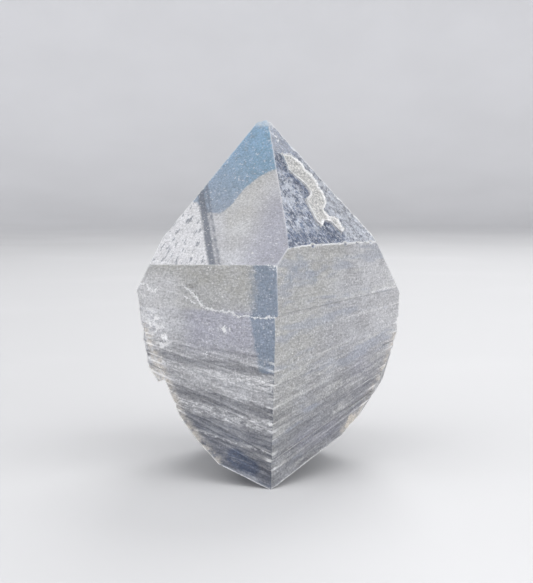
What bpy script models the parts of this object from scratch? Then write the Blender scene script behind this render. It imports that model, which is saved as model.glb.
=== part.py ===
"""Indicolite quartz crystal.

One tapered quartz point, about 47 mm tall: six prism faces stepped by growth ledges, six
rhombohedral faces that close the tip, worn shoulders, a tilted plate above a ragged step on the
front left face, a crusted island on the right-hand tip face, chips and pits along the edges, and
a broken foot with the flat that the crystal stands on.

The crystal is built upright about its c axis, its front edge towards -Y and its centre at the
origin. It is then turned and leaned as it stands, and set down on its foot flat. Metres, +Z up.
"""

import math
import random

import bmesh
import bpy
import numpy as np
from mathutils import Matrix, Vector

MM = 0.001
CUT_TOLERANCE = 1e-7

# How the crystal stands (degrees): the front edge is turned to the right, the c axis leans to +X.
FRONT_EDGE_TURN = 11.4
LEAN = 1.1

# Every face has three numbers: the turn of its normal from the front edge and the angle of its
# normal from the c axis, both in degrees, and its distance from the crystal's centre in mm.
PRISM_FACES = {
    "front_left": (-29.5, 89.5, 12.9),
    "front_right": (30.5, 90.0, 11.2),
    "right": (90.0, 95.0, 18.2),
    "back_right": (150.0, 91.5, 16.4),
    "back_left": (-150.0, 92.0, 15.8),
    "left": (-96.0, 99.5, 17.2),
}
TIP_FACES = {
    "tip_front_left": (-31.0, 52.0, 12.8),
    "tip_front_right": (29.5, 51.5, 13.1),
    "tip_right": (90.0, 49.0, 15.4),
    "tip_back_right": (150.0, 52.0, 15.7),
    "tip_back_left": (-150.0, 52.0, 16.3),
    "tip_left": (-100.0, 52.0, 15.4),
    "right_shoulder": (90.0, 59.0, 15.6),
    "left_shoulder": (-98.0, 64.5, 15.8),
    "front_corner": (25.5, 53.0, 13.3),
    "blunt_end": (180.0, 30.0, 21.15),
}
FOOT_FACES = {
    "left_break": (-101.0, 124.5, 17.75),
    "left_break_middle": (-100.0, 129.0, 18.4),
    "left_break_low": (-98.0, 135.0, 19.5),
    "left_underside": (-81.0, 154.0, 23.2),
    "right_break": (67.5, 106.5, 18.2),
    "right_break_middle": (64.0, 113.5, 18.5),
    "right_break_low": (76.0, 134.5, 20.4),
    "right_underside": (64.5, 142.0, 21.5),
    "back_break": (180.0, 128.0, 24.5),
    "back_left_break": (-140.0, 120.0, 22.5),
    "back_right_break": (125.0, 118.0, 22.0),
}
FACES = {**PRISM_FACES, **TIP_FACES, **FOOT_FACES}
FOOT_FLAT_DEPTH = 23.8

# Growth levels fan out from a line behind the crystal. A level is named by its drop below that
# line on the front edge. On the corners behind, it has dropped by a smaller share.
LEVEL_TOP = 5.75
CORNERS = (
    # first face, second face, share of the drop
    ("front_left", "front_right", 1.0),
    ("front_right", "right", 0.66),
    ("right", "back_right", 0.66),
    ("back_right", "back_left", 0.68),
    ("back_left", "left", 0.70),
    ("left", "front_left", 0.72),
)

# Ledges (mm): the drop of a level, then how far in the surface lies below it on the front left
# face, the front right face and the other faces. The first and last level end the blank.
LEDGES = (
    (-60.0, 0.0, 0.0, 0.0),
    (7.6, 0.0, 0.12, 0.1),
    (10.6, 0.0, 0.04, 0.0),
    (13.7, 0.28, 0.16, 0.2),
    (14.6, 0.04, 0.06, 0.2),
    (15.4, 0.26, 0.14, 0.0),
    (16.4, 0.0, 0.04, 0.0),
    (18.2, 0.12, 0.2, 0.15),
    (19.3, 0.0, 0.08, 0.0),
    (20.3, 0.3, 0.12, 0.15),
    (21.3, 0.02, 0.2, 0.0),
    (22.3, 0.18, 0.04, 0.1),
    (23.4, 0.06, 0.24, 0.1),
    (25.2, 0.26, 0.1, 0.1),
    (26.0, 0.04, 0.3, 0.0),
    (27.2, 0.0, 0.0, 0.0),
    (60.0, 0.0, 0.0, 0.0),
)
RISER_DROP = 0.25

# The plate on the front left face: its lower border is a ragged step (across, up, in mm on the
# face), and it tilts in from a hinge line near the top of the face.
PLATE_STEP = (
    (-6.7, 1.1), (-5.6, 0.4), (-4.8, -0.7), (-4.2, -1.4), (-3.3, -1.5), (-2.2, -1.7),
    (-0.2, -1.8), (0.6, -2.4), (1.2, -2.1), (2.1, -2.2), (3.6, -2.25), (5.8, -2.1),
)
PLATE_HINGE_UP = 4.3
PLATE_TILT = 0.065
PLATE_RIGHT = 7.5
PLATE_TOP = 4.7
PLATE_CUT_HEIGHT = 1.5

# The crust island on the right-hand tip face (across, up, in mm on the face).
ISLAND_OUTLINE = (
    (0.3, 13.4), (2.1, 13.2), (2.6, 12.4), (3.2, 11.5), (3.2, 10.6), (3.9, 9.8), (4.2, 8.7),
    (4.0, 7.5), (4.3, 6.6), (3.9, 4.8), (3.0, 4.0), (3.1, 2.8), (4.1, 2.9), (4.6, 2.4),
    (4.6, 1.5), (4.8, 0.7), (4.1, 0.2), (3.5, 0.8), (2.9, 2.0), (1.9, 2.1), (1.0, 1.2),
    (0.5, 1.9), (0.4, 3.6), (0.4, 4.7), (0.5, 5.7), (1.6, 6.3), (2.0, 6.9), (1.9, 7.7),
    (1.4, 8.6), (0.7, 9.4), (0.0, 10.4), (0.3, 11.6),
)
ISLAND_HEIGHT = 0.28
ISLAND_ROOT = 0.5
ISLAND_RIM = 0.22
ISLAND_DISH = 0.09

# The ledge low on the left side: the outer body is cut back below it, down to this face.
LEFT_LEDGE_FACE = (-103.0, 114.5, 16.0)
LEFT_LEDGE_TOP = -4.6
LEDGE_REACH = 25.0
LEDGE_CUT_HEIGHT = 6.0

# Chips along edges: the two faces of the edge, the stretch of it in mm along the edge from its
# point nearest the centre, the number of chips and their least and greatest radius (mm).
CHIPPED_EDGES = (
    ("front_left", "front_right", -22.0, -3.0, 15, 0.3, 0.65),
    ("front_left", "tip_front_left", -10.0, 5.0, 7, 0.2, 0.4),
    ("front_right", "tip_front_right", -4.0, 9.0, 10, 0.3, 0.65),
    ("tip_front_left", "tip_front_right", -9.0, 8.0, 8, 0.2, 0.45),
    ("front_left", "left", -11.0, 1.0, 6, 0.4, 0.8),
    ("front_left", "left_break_middle", -6.0, 6.0, 6, 0.5, 1.0),
    ("front_right", "right", -6.0, 3.0, 5, 0.3, 0.7),
    ("front_right", "right_break_middle", -8.0, 8.0, 8, 0.4, 0.8),
    ("front_left", "left_underside", -9.0, 8.0, 7, 0.3, 0.6),
    ("front_right", "right_underside", -9.0, 8.0, 8, 0.3, 0.6),
    ("back_left", "back_right", -16.0, 8.0, 9, 0.4, 0.9),
    ("back_left", "left", -12.0, 3.0, 6, 0.4, 0.9),
    ("back_right", "right", -14.0, 2.0, 6, 0.4, 0.9),
    ("tip_back_left", "tip_back_right", -6.0, 6.0, 5, 0.3, 0.5),
    ("tip_front_left", "tip_left", -8.0, 8.0, 6, 0.2, 0.4),
    ("tip_front_right", "tip_right", -8.0, 8.0, 6, 0.2, 0.45),
)
CHIP_BITE = 0.45

# Single larger chips: the two faces of the edge, the place along it, radius and bite (mm).
LARGE_CHIPS = (
    ("tip_front_right", "tip_right", 3.2, 0.9, 0.32),
    ("front_right", "right_break", 3.0, 1.1, 0.42),
    ("front_right", "right_break_low", 0.0, 1.4, 0.5),
    ("front_left", "left_break_low", 0.0, 1.3, 0.45),
    ("back_right", "back_break", 2.0, 3.0, 0.9),
    ("back_left", "back_left_break", -2.0, 2.6, 0.8),
)

# Pits: the face, how many at most, their least and greatest radius (mm).
PITTED_FACES = (
    ("tip_front_right", 34, 0.25, 0.6),
    ("tip_front_left", 6, 0.2, 0.35),
    ("tip_right", 16, 0.3, 0.6),
    ("tip_left", 10, 0.3, 0.5),
    ("tip_back_left", 14, 0.3, 0.6),
    ("tip_back_right", 14, 0.3, 0.6),
)
PIT_TRIES = 400
PIT_SPREAD = 20.0
PIT_BITE = 0.3
PIT_MARGIN = 0.8
SEED = 7


def unit_normal(turn, polar):
    """Outward normal of a face on the upright crystal."""
    turn = math.radians(turn)
    polar = math.radians(polar)
    across = math.sin(polar)
    return np.array([across * math.sin(turn), -across * math.cos(turn), math.cos(polar)])


def face_point(face, across, up, out=0.0):
    """A point given on a face: across and up from the foot of the face's normal, then outwards."""
    turn, polar, distance = face
    normal = unit_normal(turn, polar)
    right = np.cross((0.0, 0.0, 1.0), normal)
    right /= np.linalg.norm(right)
    upward = np.cross(normal, right)
    return normal * (distance + out) + right * across + upward * up


def meeting_point(planes):
    """The point that lies on three planes, each a normal and a distance."""
    normals = np.array([normal for normal, _ in planes])
    distances = np.array([distance for _, distance in planes])
    return np.linalg.solve(normals, distances)


def level_ring(drop, left_inset, right_inset, other_inset):
    """The six corners of one growth level."""
    insets = dict.fromkeys(PRISM_FACES, other_inset)
    insets["front_left"] = left_inset
    insets["front_right"] = right_inset
    ring = []
    for face_a, face_b, share in CORNERS:
        planes = [((0.0, 0.0, 1.0), LEVEL_TOP - share * drop)]
        for name in (face_a, face_b):
            turn, polar, distance = PRISM_FACES[name]
            planes.append((unit_normal(turn, polar), distance - insets[name]))
        ring.append(meeting_point(planes))
    return ring


def ledged_prism():
    """The prism as a stack of growth levels, bridged and closed at both ends."""
    rings = [level_ring(*LEDGES[0])]
    for above, below in zip(LEDGES, LEDGES[1:]):
        drop = below[0]
        rings.append(level_ring(drop - RISER_DROP / 2, *above[1:]))
        rings.append(level_ring(drop + RISER_DROP / 2, *below[1:]))
    shape = bmesh.new()
    rows = [[shape.verts.new(Vector(point) * MM) for point in ring] for ring in rings]
    for upper, lower in zip(rows, rows[1:]):
        for corner in range(len(CORNERS)):
            after = (corner + 1) % len(CORNERS)
            shape.faces.new((upper[corner], lower[corner], lower[after], upper[after]))
    shape.faces.new(rows[0])
    shape.faces.new(list(reversed(rows[-1])))
    bmesh.ops.recalc_face_normals(shape, faces=shape.faces)
    return shape


def cut_to_plane(shape, normal, distance):
    """Drop what lies beyond a plane and close the cut."""
    normal = Vector(normal)
    result = bmesh.ops.bisect_plane(
        shape,
        geom=list(shape.verts) + list(shape.edges) + list(shape.faces),
        dist=CUT_TOLERANCE,
        plane_co=normal * distance * MM,
        plane_no=normal,
        clear_outer=True,
    )
    rim = [item for item in result["geom_cut"] if isinstance(item, bmesh.types.BMEdge)]
    if rim:
        bmesh.ops.contextual_create(shape, geom=rim)


def standing_matrix():
    """Turn the front edge to the right, then lean the c axis."""
    turn = Matrix.Rotation(math.radians(FRONT_EDGE_TURN), 4, "Z")
    lean = Matrix.Rotation(math.radians(LEAN), 4, "Y")
    return lean @ turn


def crystal_body():
    """The whole crystal, standing, before its plate, crust, chips and pits."""
    shape = ledged_prism()
    for turn, polar, distance in list(TIP_FACES.values()) + list(FOOT_FACES.values()):
        cut_to_plane(shape, unit_normal(turn, polar), distance)
    shape.transform(standing_matrix())
    cut_to_plane(shape, (0.0, 0.0, -1.0), FOOT_FLAT_DEPTH)
    return shape


def prism_on_face(face, outline, floor, top):
    """A closed prism over an outline on a face, between a floor and a top.

    Floor and top are heights above the face, as functions of the place on it.
    """
    shape = bmesh.new()
    rows = []
    for height in (floor, top):
        points = [face_point(face, u, v, height(u, v)) for u, v in outline]
        rows.append([shape.verts.new(Vector(point) * MM) for point in points])
    low, high = rows
    count = len(outline)
    for index in range(count):
        after = (index + 1) % count
        shape.faces.new((low[index], low[after], high[after], high[index]))
    shape.faces.new(low)
    lid = shape.faces.new(high)
    bmesh.ops.recalc_face_normals(shape, faces=shape.faces)
    return shape, lid


def plate_cutter():
    """What is taken off the front left face above the ragged step."""
    outline = list(PLATE_STEP)
    outline.append((PLATE_RIGHT, PLATE_STEP[-1][1]))
    outline.append((PLATE_RIGHT, PLATE_TOP))
    outline.append((PLATE_STEP[0][0], PLATE_TOP))
    shape, _ = prism_on_face(
        PRISM_FACES["front_left"],
        outline,
        lambda u, v: -PLATE_TILT * (PLATE_HINGE_UP - v),
        lambda u, v: PLATE_CUT_HEIGHT,
    )
    return shape


def island_crust():
    """The raised crust: a plate with an upstanding rim and a dished middle."""
    shape, lid = prism_on_face(
        TIP_FACES["tip_front_right"],
        ISLAND_OUTLINE,
        lambda u, v: -ISLAND_ROOT,
        lambda u, v: ISLAND_HEIGHT,
    )
    bmesh.ops.inset_region(
        shape,
        faces=[lid],
        thickness=ISLAND_RIM * MM,
        depth=-ISLAND_DISH * MM,
        use_even_offset=False,
    )
    return shape


def left_ledge_cutter():
    """The block that cuts the left side back below its ledge."""
    outline = (
        (-LEDGE_REACH, -LEDGE_REACH),
        (LEDGE_REACH, -LEDGE_REACH),
        (LEDGE_REACH, LEFT_LEDGE_TOP),
        (-LEDGE_REACH, LEFT_LEDGE_TOP),
    )
    shape, _ = prism_on_face(
        LEFT_LEDGE_FACE, outline, lambda u, v: 0.0, lambda u, v: LEDGE_CUT_HEIGHT
    )
    return shape


def edge_point(face_a, face_b, along):
    """A point on the edge of two faces, and the direction straight out between them."""
    turn_a, polar_a, distance_a = FACES[face_a]
    turn_b, polar_b, distance_b = FACES[face_b]
    normal_a = unit_normal(turn_a, polar_a)
    normal_b = unit_normal(turn_b, polar_b)
    direction = np.cross(normal_a, normal_b)
    direction /= np.linalg.norm(direction)
    if direction[2] < 0:
        direction = -direction
    nearest = meeting_point([(normal_a, distance_a), (normal_b, distance_b), (direction, 0.0)])
    outward = normal_a + normal_b
    return nearest + direction * along, outward / np.linalg.norm(outward)


def lies_on_crystal(point, own_faces, margin):
    """Whether a point lies inside all faces but its own, by at least a margin (mm)."""
    for name, (turn, polar, distance) in FACES.items():
        if name not in own_faces and unit_normal(turn, polar) @ point > distance - margin:
            return False
    return True


def edge_chips(rng):
    """Places of the chips: centre and radius of the ball that is scooped out (mm)."""
    balls = []
    for face_a, face_b, along, radius, bite in LARGE_CHIPS:
        point, outward = edge_point(face_a, face_b, along)
        balls.append((point + outward * (radius - bite), radius))
    for face_a, face_b, start, end, count, least, greatest in CHIPPED_EDGES:
        for index in range(count):
            along = start + (end - start) * (index + rng.random()) / count
            radius = rng.uniform(least, greatest)
            point, outward = edge_point(face_a, face_b, along)
            if lies_on_crystal(point, (face_a, face_b), 0.0):
                balls.append((point + outward * radius * (1.0 - CHIP_BITE), radius))
    return balls


def face_pits(rng):
    """Places of the pits: centre and radius of the ball that is scooped out (mm)."""
    balls = []
    for name, count, least, greatest in PITTED_FACES:
        outward = unit_normal(*FACES[name][:2])
        spread = PIT_SPREAD
        tries = [
            face_point(FACES[name], rng.uniform(-spread, spread), rng.uniform(-spread, spread))
            for _ in range(PIT_TRIES)
        ]
        places = [point for point in tries if lies_on_crystal(point, (name,), PIT_MARGIN)]
        for point in places[:count]:
            radius = rng.uniform(least, greatest)
            balls.append((point + outward * radius * (1.0 - PIT_BITE), radius))
    return balls


def scattered_balls():
    """Balls for chips and pits, leaving out any that would meet an earlier one."""
    rng = random.Random(SEED)
    kept = []
    for centre, radius in edge_chips(rng) + face_pits(rng):
        if all(np.linalg.norm(centre - other) > radius + reach for other, reach in kept):
            kept.append((centre, radius))
    return kept


def ball_cutter():
    """Every chip and pit ball, as low faceted balls that leave shell-like scars."""
    rng = random.Random(SEED)
    shape = bmesh.new()
    for centre, radius in scattered_balls():
        spin = Matrix.Rotation(rng.uniform(0.0, math.tau), 4, "Z")
        tip = Matrix.Rotation(rng.uniform(0.0, math.pi), 4, "X")
        bmesh.ops.create_icosphere(
            shape,
            subdivisions=2 if radius > 0.5 else 1,
            radius=radius * MM,
            matrix=Matrix.Translation(Vector(centre) * MM) @ spin @ tip,
        )
    return shape


def add_object(name, shape, material=None):
    """Turn a shape into a named object of the scene."""
    mesh = bpy.data.meshes.new(name)
    shape.to_mesh(mesh)
    shape.free()
    item = bpy.data.objects.new(name, mesh)
    if material:
        mesh.materials.append(material)
    bpy.context.scene.collection.objects.link(item)
    return item


def add_boolean(crystal, name, shape, operation):
    """Cut or join a standing shape into the crystal with a hidden guide object."""
    shape.transform(standing_matrix())
    guide = add_object(name, shape)
    guide.parent = crystal
    guide.hide_render = True
    guide.display_type = "WIRE"
    modifier = crystal.modifiers.new(name, "BOOLEAN")
    modifier.operation = operation
    modifier.solver = "EXACT"
    modifier.object = guide


def quartz_material():
    """Milky blue-grey quartz."""
    material = bpy.data.materials.new("indicolite_quartz")
    material.use_nodes = True
    shader = material.node_tree.nodes["Principled BSDF"]
    shader.inputs["Base Color"].default_value = (0.42, 0.46, 0.54, 1.0)
    shader.inputs["Roughness"].default_value = 0.35
    shader.inputs["Metallic"].default_value = 0.0
    shader.inputs["IOR"].default_value = 1.54
    return material


def set_down(crystal):
    """Move the crystal so that the middle of its footprint is at the origin and it rests on z = 0."""
    corners = np.array([vertex.co for vertex in crystal.data.vertices])
    low = corners.min(axis=0)
    high = corners.max(axis=0)
    crystal.location = (-(low[0] + high[0]) / 2, -(low[1] + high[1]) / 2, -low[2])


def build():
    for item in list(bpy.data.objects):
        bpy.data.objects.remove(item)
    crystal = add_object("quartz_crystal", crystal_body(), quartz_material())
    add_boolean(crystal, "plate_cut", plate_cutter(), "DIFFERENCE")
    add_boolean(crystal, "left_ledge_cut", left_ledge_cutter(), "DIFFERENCE")
    add_boolean(crystal, "island_crust", island_crust(), "UNION")
    add_boolean(crystal, "chips_and_pits", ball_cutter(), "DIFFERENCE")
    set_down(crystal)


build()
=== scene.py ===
"""Indicolite quartz crystal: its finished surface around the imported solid, its stage and camera.

The solid gives every flat face, ledge, chip and crust. Its copy is diced into a fine net. Each point
of the net is moved along its normal by a relief, and out towards its own face where a ledge of the
two front faces is partly filled. Both shifts are worked out for all points at once.
Lengths are in metres in the scene and in millimetres where a name or comment says so. +Z is up.
"""

import math

import bmesh
import bpy
import numpy as np
from mathutils import Matrix, Vector
from mathutils.geometry import delaunay_2d_cdt


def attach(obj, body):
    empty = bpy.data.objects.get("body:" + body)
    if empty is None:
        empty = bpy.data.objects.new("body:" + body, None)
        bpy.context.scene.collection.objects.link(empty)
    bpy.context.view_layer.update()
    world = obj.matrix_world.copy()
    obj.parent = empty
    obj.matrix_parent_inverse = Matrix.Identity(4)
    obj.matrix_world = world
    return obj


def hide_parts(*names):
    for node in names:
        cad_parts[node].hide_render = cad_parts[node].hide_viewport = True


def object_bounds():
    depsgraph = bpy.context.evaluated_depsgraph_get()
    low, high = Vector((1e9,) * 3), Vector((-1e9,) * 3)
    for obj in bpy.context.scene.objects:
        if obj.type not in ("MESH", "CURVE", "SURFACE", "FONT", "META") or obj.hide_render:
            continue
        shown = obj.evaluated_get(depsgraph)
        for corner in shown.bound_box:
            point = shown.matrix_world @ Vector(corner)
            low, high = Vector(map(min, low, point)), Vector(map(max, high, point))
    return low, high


bl_info = {
    "name": "Indicolite quartz crystal",
    "version": (1, 0, 0),
    "blender": (4, 5, 0),
    "location": "3D View > Sidebar > Crystal",
    "description": "Finishes the surface of a quartz crystal and sets up its stage",
    "category": "Object",
}

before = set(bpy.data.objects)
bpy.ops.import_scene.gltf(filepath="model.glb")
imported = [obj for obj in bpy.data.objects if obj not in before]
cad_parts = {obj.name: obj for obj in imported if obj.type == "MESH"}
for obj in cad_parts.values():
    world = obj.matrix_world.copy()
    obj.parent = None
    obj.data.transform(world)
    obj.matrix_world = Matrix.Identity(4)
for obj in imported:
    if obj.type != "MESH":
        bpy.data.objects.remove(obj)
SOLID_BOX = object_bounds()

MM = 0.001
CRYSTAL_NODE = "quartz_crystal"

# Where the crystal's centre lies and how it stands, as the solid was set down.
CENTRE_MM = (-0.18, -2.18, 23.8)
FRONT_EDGE_TURN = math.radians(11.4)
LEAN = math.radians(1.1)

# Flat faces: turn of the normal from the front edge, its angle from the c axis (degrees), and the
# distance from the centre (mm).
FACES = {
    "front_left": (-29.5, 89.5, 12.9),
    "front_right": (30.5, 90.0, 11.2),
    "right": (90.0, 95.0, 18.2),
    "back_right": (150.0, 91.5, 16.4),
    "back_left": (-150.0, 92.0, 15.8),
    "left": (-96.0, 99.5, 17.2),
    "tip_front_left": (-31.0, 52.0, 12.8),
    "tip_front_right": (29.5, 51.5, 13.1),
    "tip_right": (90.0, 49.0, 15.4),
    "tip_back_right": (150.0, 52.0, 15.7),
    "tip_back_left": (-150.0, 52.0, 16.3),
    "tip_left": (-100.0, 52.0, 15.4),
    "right_shoulder": (90.0, 59.0, 15.6),
    "left_shoulder": (-98.0, 64.5, 15.8),
    "left_break": (-101.0, 124.5, 17.75),
    "left_break_middle": (-100.0, 129.0, 18.4),
    "left_break_low": (-98.0, 135.0, 19.5),
    "left_ledge": (-103.0, 114.5, 16.0),
    "left_underside": (-81.0, 154.0, 23.2),
    "right_break": (67.5, 106.5, 18.2),
    "right_break_middle": (64.0, 113.5, 18.5),
    "right_break_low": (76.0, 134.5, 20.4),
    "right_underside": (64.5, 142.0, 21.5),
    "back_break": (180.0, 128.0, 24.5),
    "back_left_break": (-140.0, 120.0, 22.5),
    "back_right_break": (125.0, 118.0, 22.0),
}
PRISM = ("front_left", "front_right", "right", "back_right", "back_left", "left")
TIP = (
    "tip_front_left", "tip_front_right", "tip_right", "tip_back_right", "tip_back_left", "tip_left",
    "right_shoulder", "left_shoulder",
)
BROKEN = tuple(name for name in FACES if "break" in name or "under" in name or "ledge" in name)

# Growth levels fan out from a line behind the crystal (mm).
LEVEL_TOP = 5.75
FAN_DEPTH = 18.1
FAN_REACH = 32.0
LEAST_SHARE = 0.68

# How places are told apart on the finished crystal.
FAR = 4.0
LEAN_COST_MM = 6.0
EDGE_LEAN = 0.94
LEAST_SINE = 0.2
PLAIN_EDGE_LIGHT = 0.5

# How brightly the edges between two faces are chipped.
EDGE_LIGHTS = (
    ("tip_front_right", "front_right", 1.0),
    ("tip_front_left", "tip_front_right", 0.45),
    ("front_left", "front_right", 0.55),
    ("tip_front_left", "front_left", 0.16),
    ("tip_front_left", "front_right", 0.5),
    ("tip_front_right", "tip_right", 0.85),
    ("tip_front_right", "right_shoulder", 0.85),
    ("front_left", "left_break", 0.8),
    ("front_left", "left_underside", 0.7),
    ("front_right", "right_underside", 0.7),
    ("front_right", "right_break", 0.75),
)

# The relief. Textures: size of their cells (mm) and their seed.
SWELLS = (5.0, 11)
WIDE_STEPS = (1.5, 21)
NARROW_STEPS = (0.7, 31)
BAND_PATCHES = (2.5, 35)
PITS = (1.1, 41)
PINHOLES = (0.5, 45)
HOLLOWS = (4.5, 61)
SMALL_HOLLOWS = (2.0, 62)
ROUGH_GROUND = (0.9, 65)
BITES = (0.7, 71)
BITTEN_LENGTHS = (2.5, 75)
TIP_CLOUDS = (8.0, 91)

# Ledges of the two front faces: their depth (mm) and the share of it that is filled.
LEDGE_DEPTH = 0.4
LEDGE_FILL = 0.86

# Ramps of the relief and of the marks: where each is 0 and where it is 1, in mm, in growth levels
# or in shares of a noise.
RAMPS = {
    "edge_inset": (0.0, 0.6),
    "break_inset": (0.0, 1.0),
    "worn_strip": (0.5, 0.0),
    "worn_bites": (0.5, 0.8),
    "worn_lengths": (0.4, 0.7),
    "foot_clear": (0.05, 0.6),
    "low_edge": (-2.0, -6.0),
    "filled_below": (-2.0, -4.0),
    "step_drop": (1.0, 0.8),
    "step_lengths": (0.35, 0.75),
    "steps_foot_wards": (9.0, 15.0),
    "band_end": (27.0, 25.0),
    "band_lengths": (0.25, 0.6),
    "wide_pits": (0.4, 0.7),
    "pinholes": (0.45, 0.75),
    "run_out_start": (-4.6, -6.4),
    "run_out_end": (-7.6, -6.6),
    "run_out_up": (0.9, 1.8),
    "prism_lined": (8.0, 16.0),
    # painted shade: the prism darkens towards its foot
    "prism_deep": (13.0, 26.0),
    "grey_off_stripe": (1.0, 3.0),
    "grey_tip_across": (4.0, 0.0),
    "grey_tip_up": (-4.0, 3.0),
    "clouds_over_foot": (0.0, 1.5),
    "clouds_left": (1.5, 0.0),
    "clouds_below_tip": (12.0, 9.0),
    "clouds_right": (2.5, 4.0),
    "clouds_off_crust": (0.1, 0.4),
    "grey_etched": (3.4, 5.0),
    "blue_under_crack": (-2.2, -1.6),
    "grey_over_crack": (-1.9, -1.4),
    "grey_corner": (0.8, 2.2),
    "left_lined": (12.6, 14.4),
    "dark_under_crack": (-1.6, -2.4),
    "dark_in_blue": (0.0, 0.6),
    "edge_strip": (1.2, 0.5),
    "edge_strip_low": (-6.0, -9.0),
    "outer_milk": (0.9, 0.2),
    "right_lined": (10.0, 20.0),
    "right_grey": (4.0, -2.0),
    "right_milk": (5.0, 11.0),
    "right_patches": (1.3, 0.3),
    "lilac_patch": (3.5, 1.0),
    "stained_edge": (1.2, 0.2),
    "leaning": (0.03, 0.12),
    "scarred_edge": (1.2, 0.4),
    "scar_run_out_start": (-5.6, -6.4),
    "scar_run_out_end": (-7.2, -6.9),
    "scar_run_out_up": (0.9, 1.4),
    "apex": (22.0, 22.8),
    "milky_beyond": (-0.75, -1.25),
    "hidden_milk": (6.0, -1.0),
}

# Outlines and lines, in millimetres across and up their own face.
ISLAND_OUTLINE = (
    (0.3, 13.4), (2.1, 13.2), (2.6, 12.4), (3.2, 11.5), (3.2, 10.6), (3.9, 9.8), (4.2, 8.7),
    (4.0, 7.5), (4.3, 6.6), (3.9, 4.8), (3.0, 4.0), (3.1, 2.8), (4.1, 2.9), (4.6, 2.4),
    (4.6, 1.5), (4.8, 0.7), (4.1, 0.2), (3.5, 0.8), (2.9, 2.0), (1.9, 2.1), (1.0, 1.2),
    (0.5, 1.9), (0.4, 3.6), (0.4, 4.7), (0.5, 5.7), (1.6, 6.3), (2.0, 6.9), (1.9, 7.7),
    (1.4, 8.6), (0.7, 9.4), (0.0, 10.4), (0.3, 11.6),
)
TIP_STEP = ((0.75, 17.05), (1.27, 15.86), (0.96, 14.73), (1.34, 13.91))
TIP_STEP_WIDTH = 0.14
BLUE_BORDER = (
    (-14.0, 5.4), (-7.6, 5.2), (-6.3, 3.9), (-5.2, 3.4), (-3.7, 3.5), (-2.5, 5.0), (-1.5, 7.5),
    (0.2, 9.7), (2.4, 11.1), (14.0, 14.0),
)
BLUE_BAND_DROP = (-4.2, 2.3, 7.2, 9.4)
BLUE_BAND_LEFT = (2.1, 2.0, 3.0, 3.6)
BLUE_BAND_FOOT = 9.4
# Cracks of the front left face, each a line and its width (mm). The first is the step of the sunk plate,
# whose white line is a painted highlight where it faces up.
FRONT_LEFT_LINES = (
    (
        (
            (-6.7, 1.1), (-5.6, 0.4), (-4.8, -0.7), (-4.2, -1.4), (-3.3, -1.5), (-2.2, -1.7),
            (-0.2, -1.8), (0.6, -2.4), (1.2, -2.1), (2.1, -2.2), (3.6, -2.25), (5.8, -2.1),
        ),
        0.15,
    ),
    (((-6.75, 0.0), (-5.46, -0.96)), 0.1),
    (((-13.1, 1.26), (-12.1, 1.04), (-11.6, 0.7), (-11.0, 0.35), (-10.6, 0.72)), 0.26),
    (((-1.5, -3.9), (-1.2, -4.0)), 0.32),
    (((-4.1, -7.2), (-3.6, -7.1)), 0.16),
    (((5.1, 4.3), (5.6, 4.2)), 0.4),
)
FRONT_RIGHT_LINE = ((8.49, 0.3), (10.8, 0.7), (13.4, 0.96))
FRONT_RIGHT_LINE_WIDTH = 0.12
FRONT_RIGHT_PATCHES = (((-6.9, 2.3), (-5.2, 3.9)), ((-4.6, 5.4), (-2.0, 2.4)))
LOW_DARK_LINE = ((-3.3, -18.1), (2.6, -17.0))
LOW_RIDGE_LINE = ((-5.6, -20.9), (-3.2, -20.1), (1.6, -19.2))

# The dark double stripe of the front left tip face: its ends, and the middle and half width of
# its two lines.
STRIPE_TOP = (-5.7, 3.9)
STRIPE_FOOT = (-2.2, -4.8)
STRIPE_LINES = ((-0.5, 0.58), (0.46, 0.24))

# Blue of the hidden tip faces: the height of its lower border, how far that wanders, and over
# what height it fades (mm).
HIDDEN_BLUE_FOOT = 12.0
HIDDEN_BLUE_WANDER = 9.0
HIDDEN_BLUE_FADE = 4.0

# Soft zones of each face: the mark, its greatest share, and the ramps across and up the face (mm)
# that bound it. The darkening mark among them is painted shade.
SOFT_ZONES = {
    # The tip's teal and lilac zones are partly the quartz's own colour and partly painted internal
    # reflection.
    "tip_front_left": (
        ("teal", 1.0, ((-6.0, 0.5),), ((4.0, 11.0),)),
        ("lilac", 1.0, ((-1.0, 4.0),), ((10.0, 4.0),)),
        ("deep", 0.34, ((0.0, 3.5),), ((9.0, 3.0),)),
    ),
    "tip_front_right": (("milk", 0.65, (), ((12.4, 14.6),)),),
    "front_left": (
        ("milk", 0.7, ((-6.0, -9.5),), ((-8.0, -3.0), (3.6, 1.5))),
        ("lilac", 1.0, ((-8.0, -5.0),), ((0.0, -2.5), (-9.0, -5.0))),
    ),
    "front_right": (("lilac", 0.5, ((2.0, 8.0),), ((-4.0, -10.0),)),),
}

# Soft marks along lines of each face: the mark, its greatest share, the distances (mm) at which
# it begins and is full, and the line. The darkening mark among them is painted shade.
SOFT_LINES = {
    "front_left": (
        ("frosted", 1.0, (1.5, 0.4), ((-11.6, -2.7), (-10.6, -4.2), (-9.6, -6.0))),
        ("deep", 1.45, (3.0, 0.4), ((0.4, -20.2), (2.6, -21.4))),
    ),
    "front_right": (
        ("deep", 0.7, (1.0, 0.2), LOW_DARK_LINE),
        ("lilac", 1.0, (2.0, 0.5), LOW_DARK_LINE),
        ("beige", 2.0, (0.9, 0.4), ((5.0, -17.4), (5.6, -16.4))),
    ),
}
LILAC_PATCH = (7.7, -9.9)

# Broken faces whose edges are stained and chipped, and faces along whose edges the front right
# one is milky.
STAINED_BY = (
    "left_break", "left_break_middle", "left_break_low", "left_ledge",
    "right_break", "right_break_middle", "right_break_low",
)
OUTER_RIGHT = (
    "right", "tip_right", "right_shoulder", "right_break", "right_break_middle", "right_break_low",
)
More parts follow.
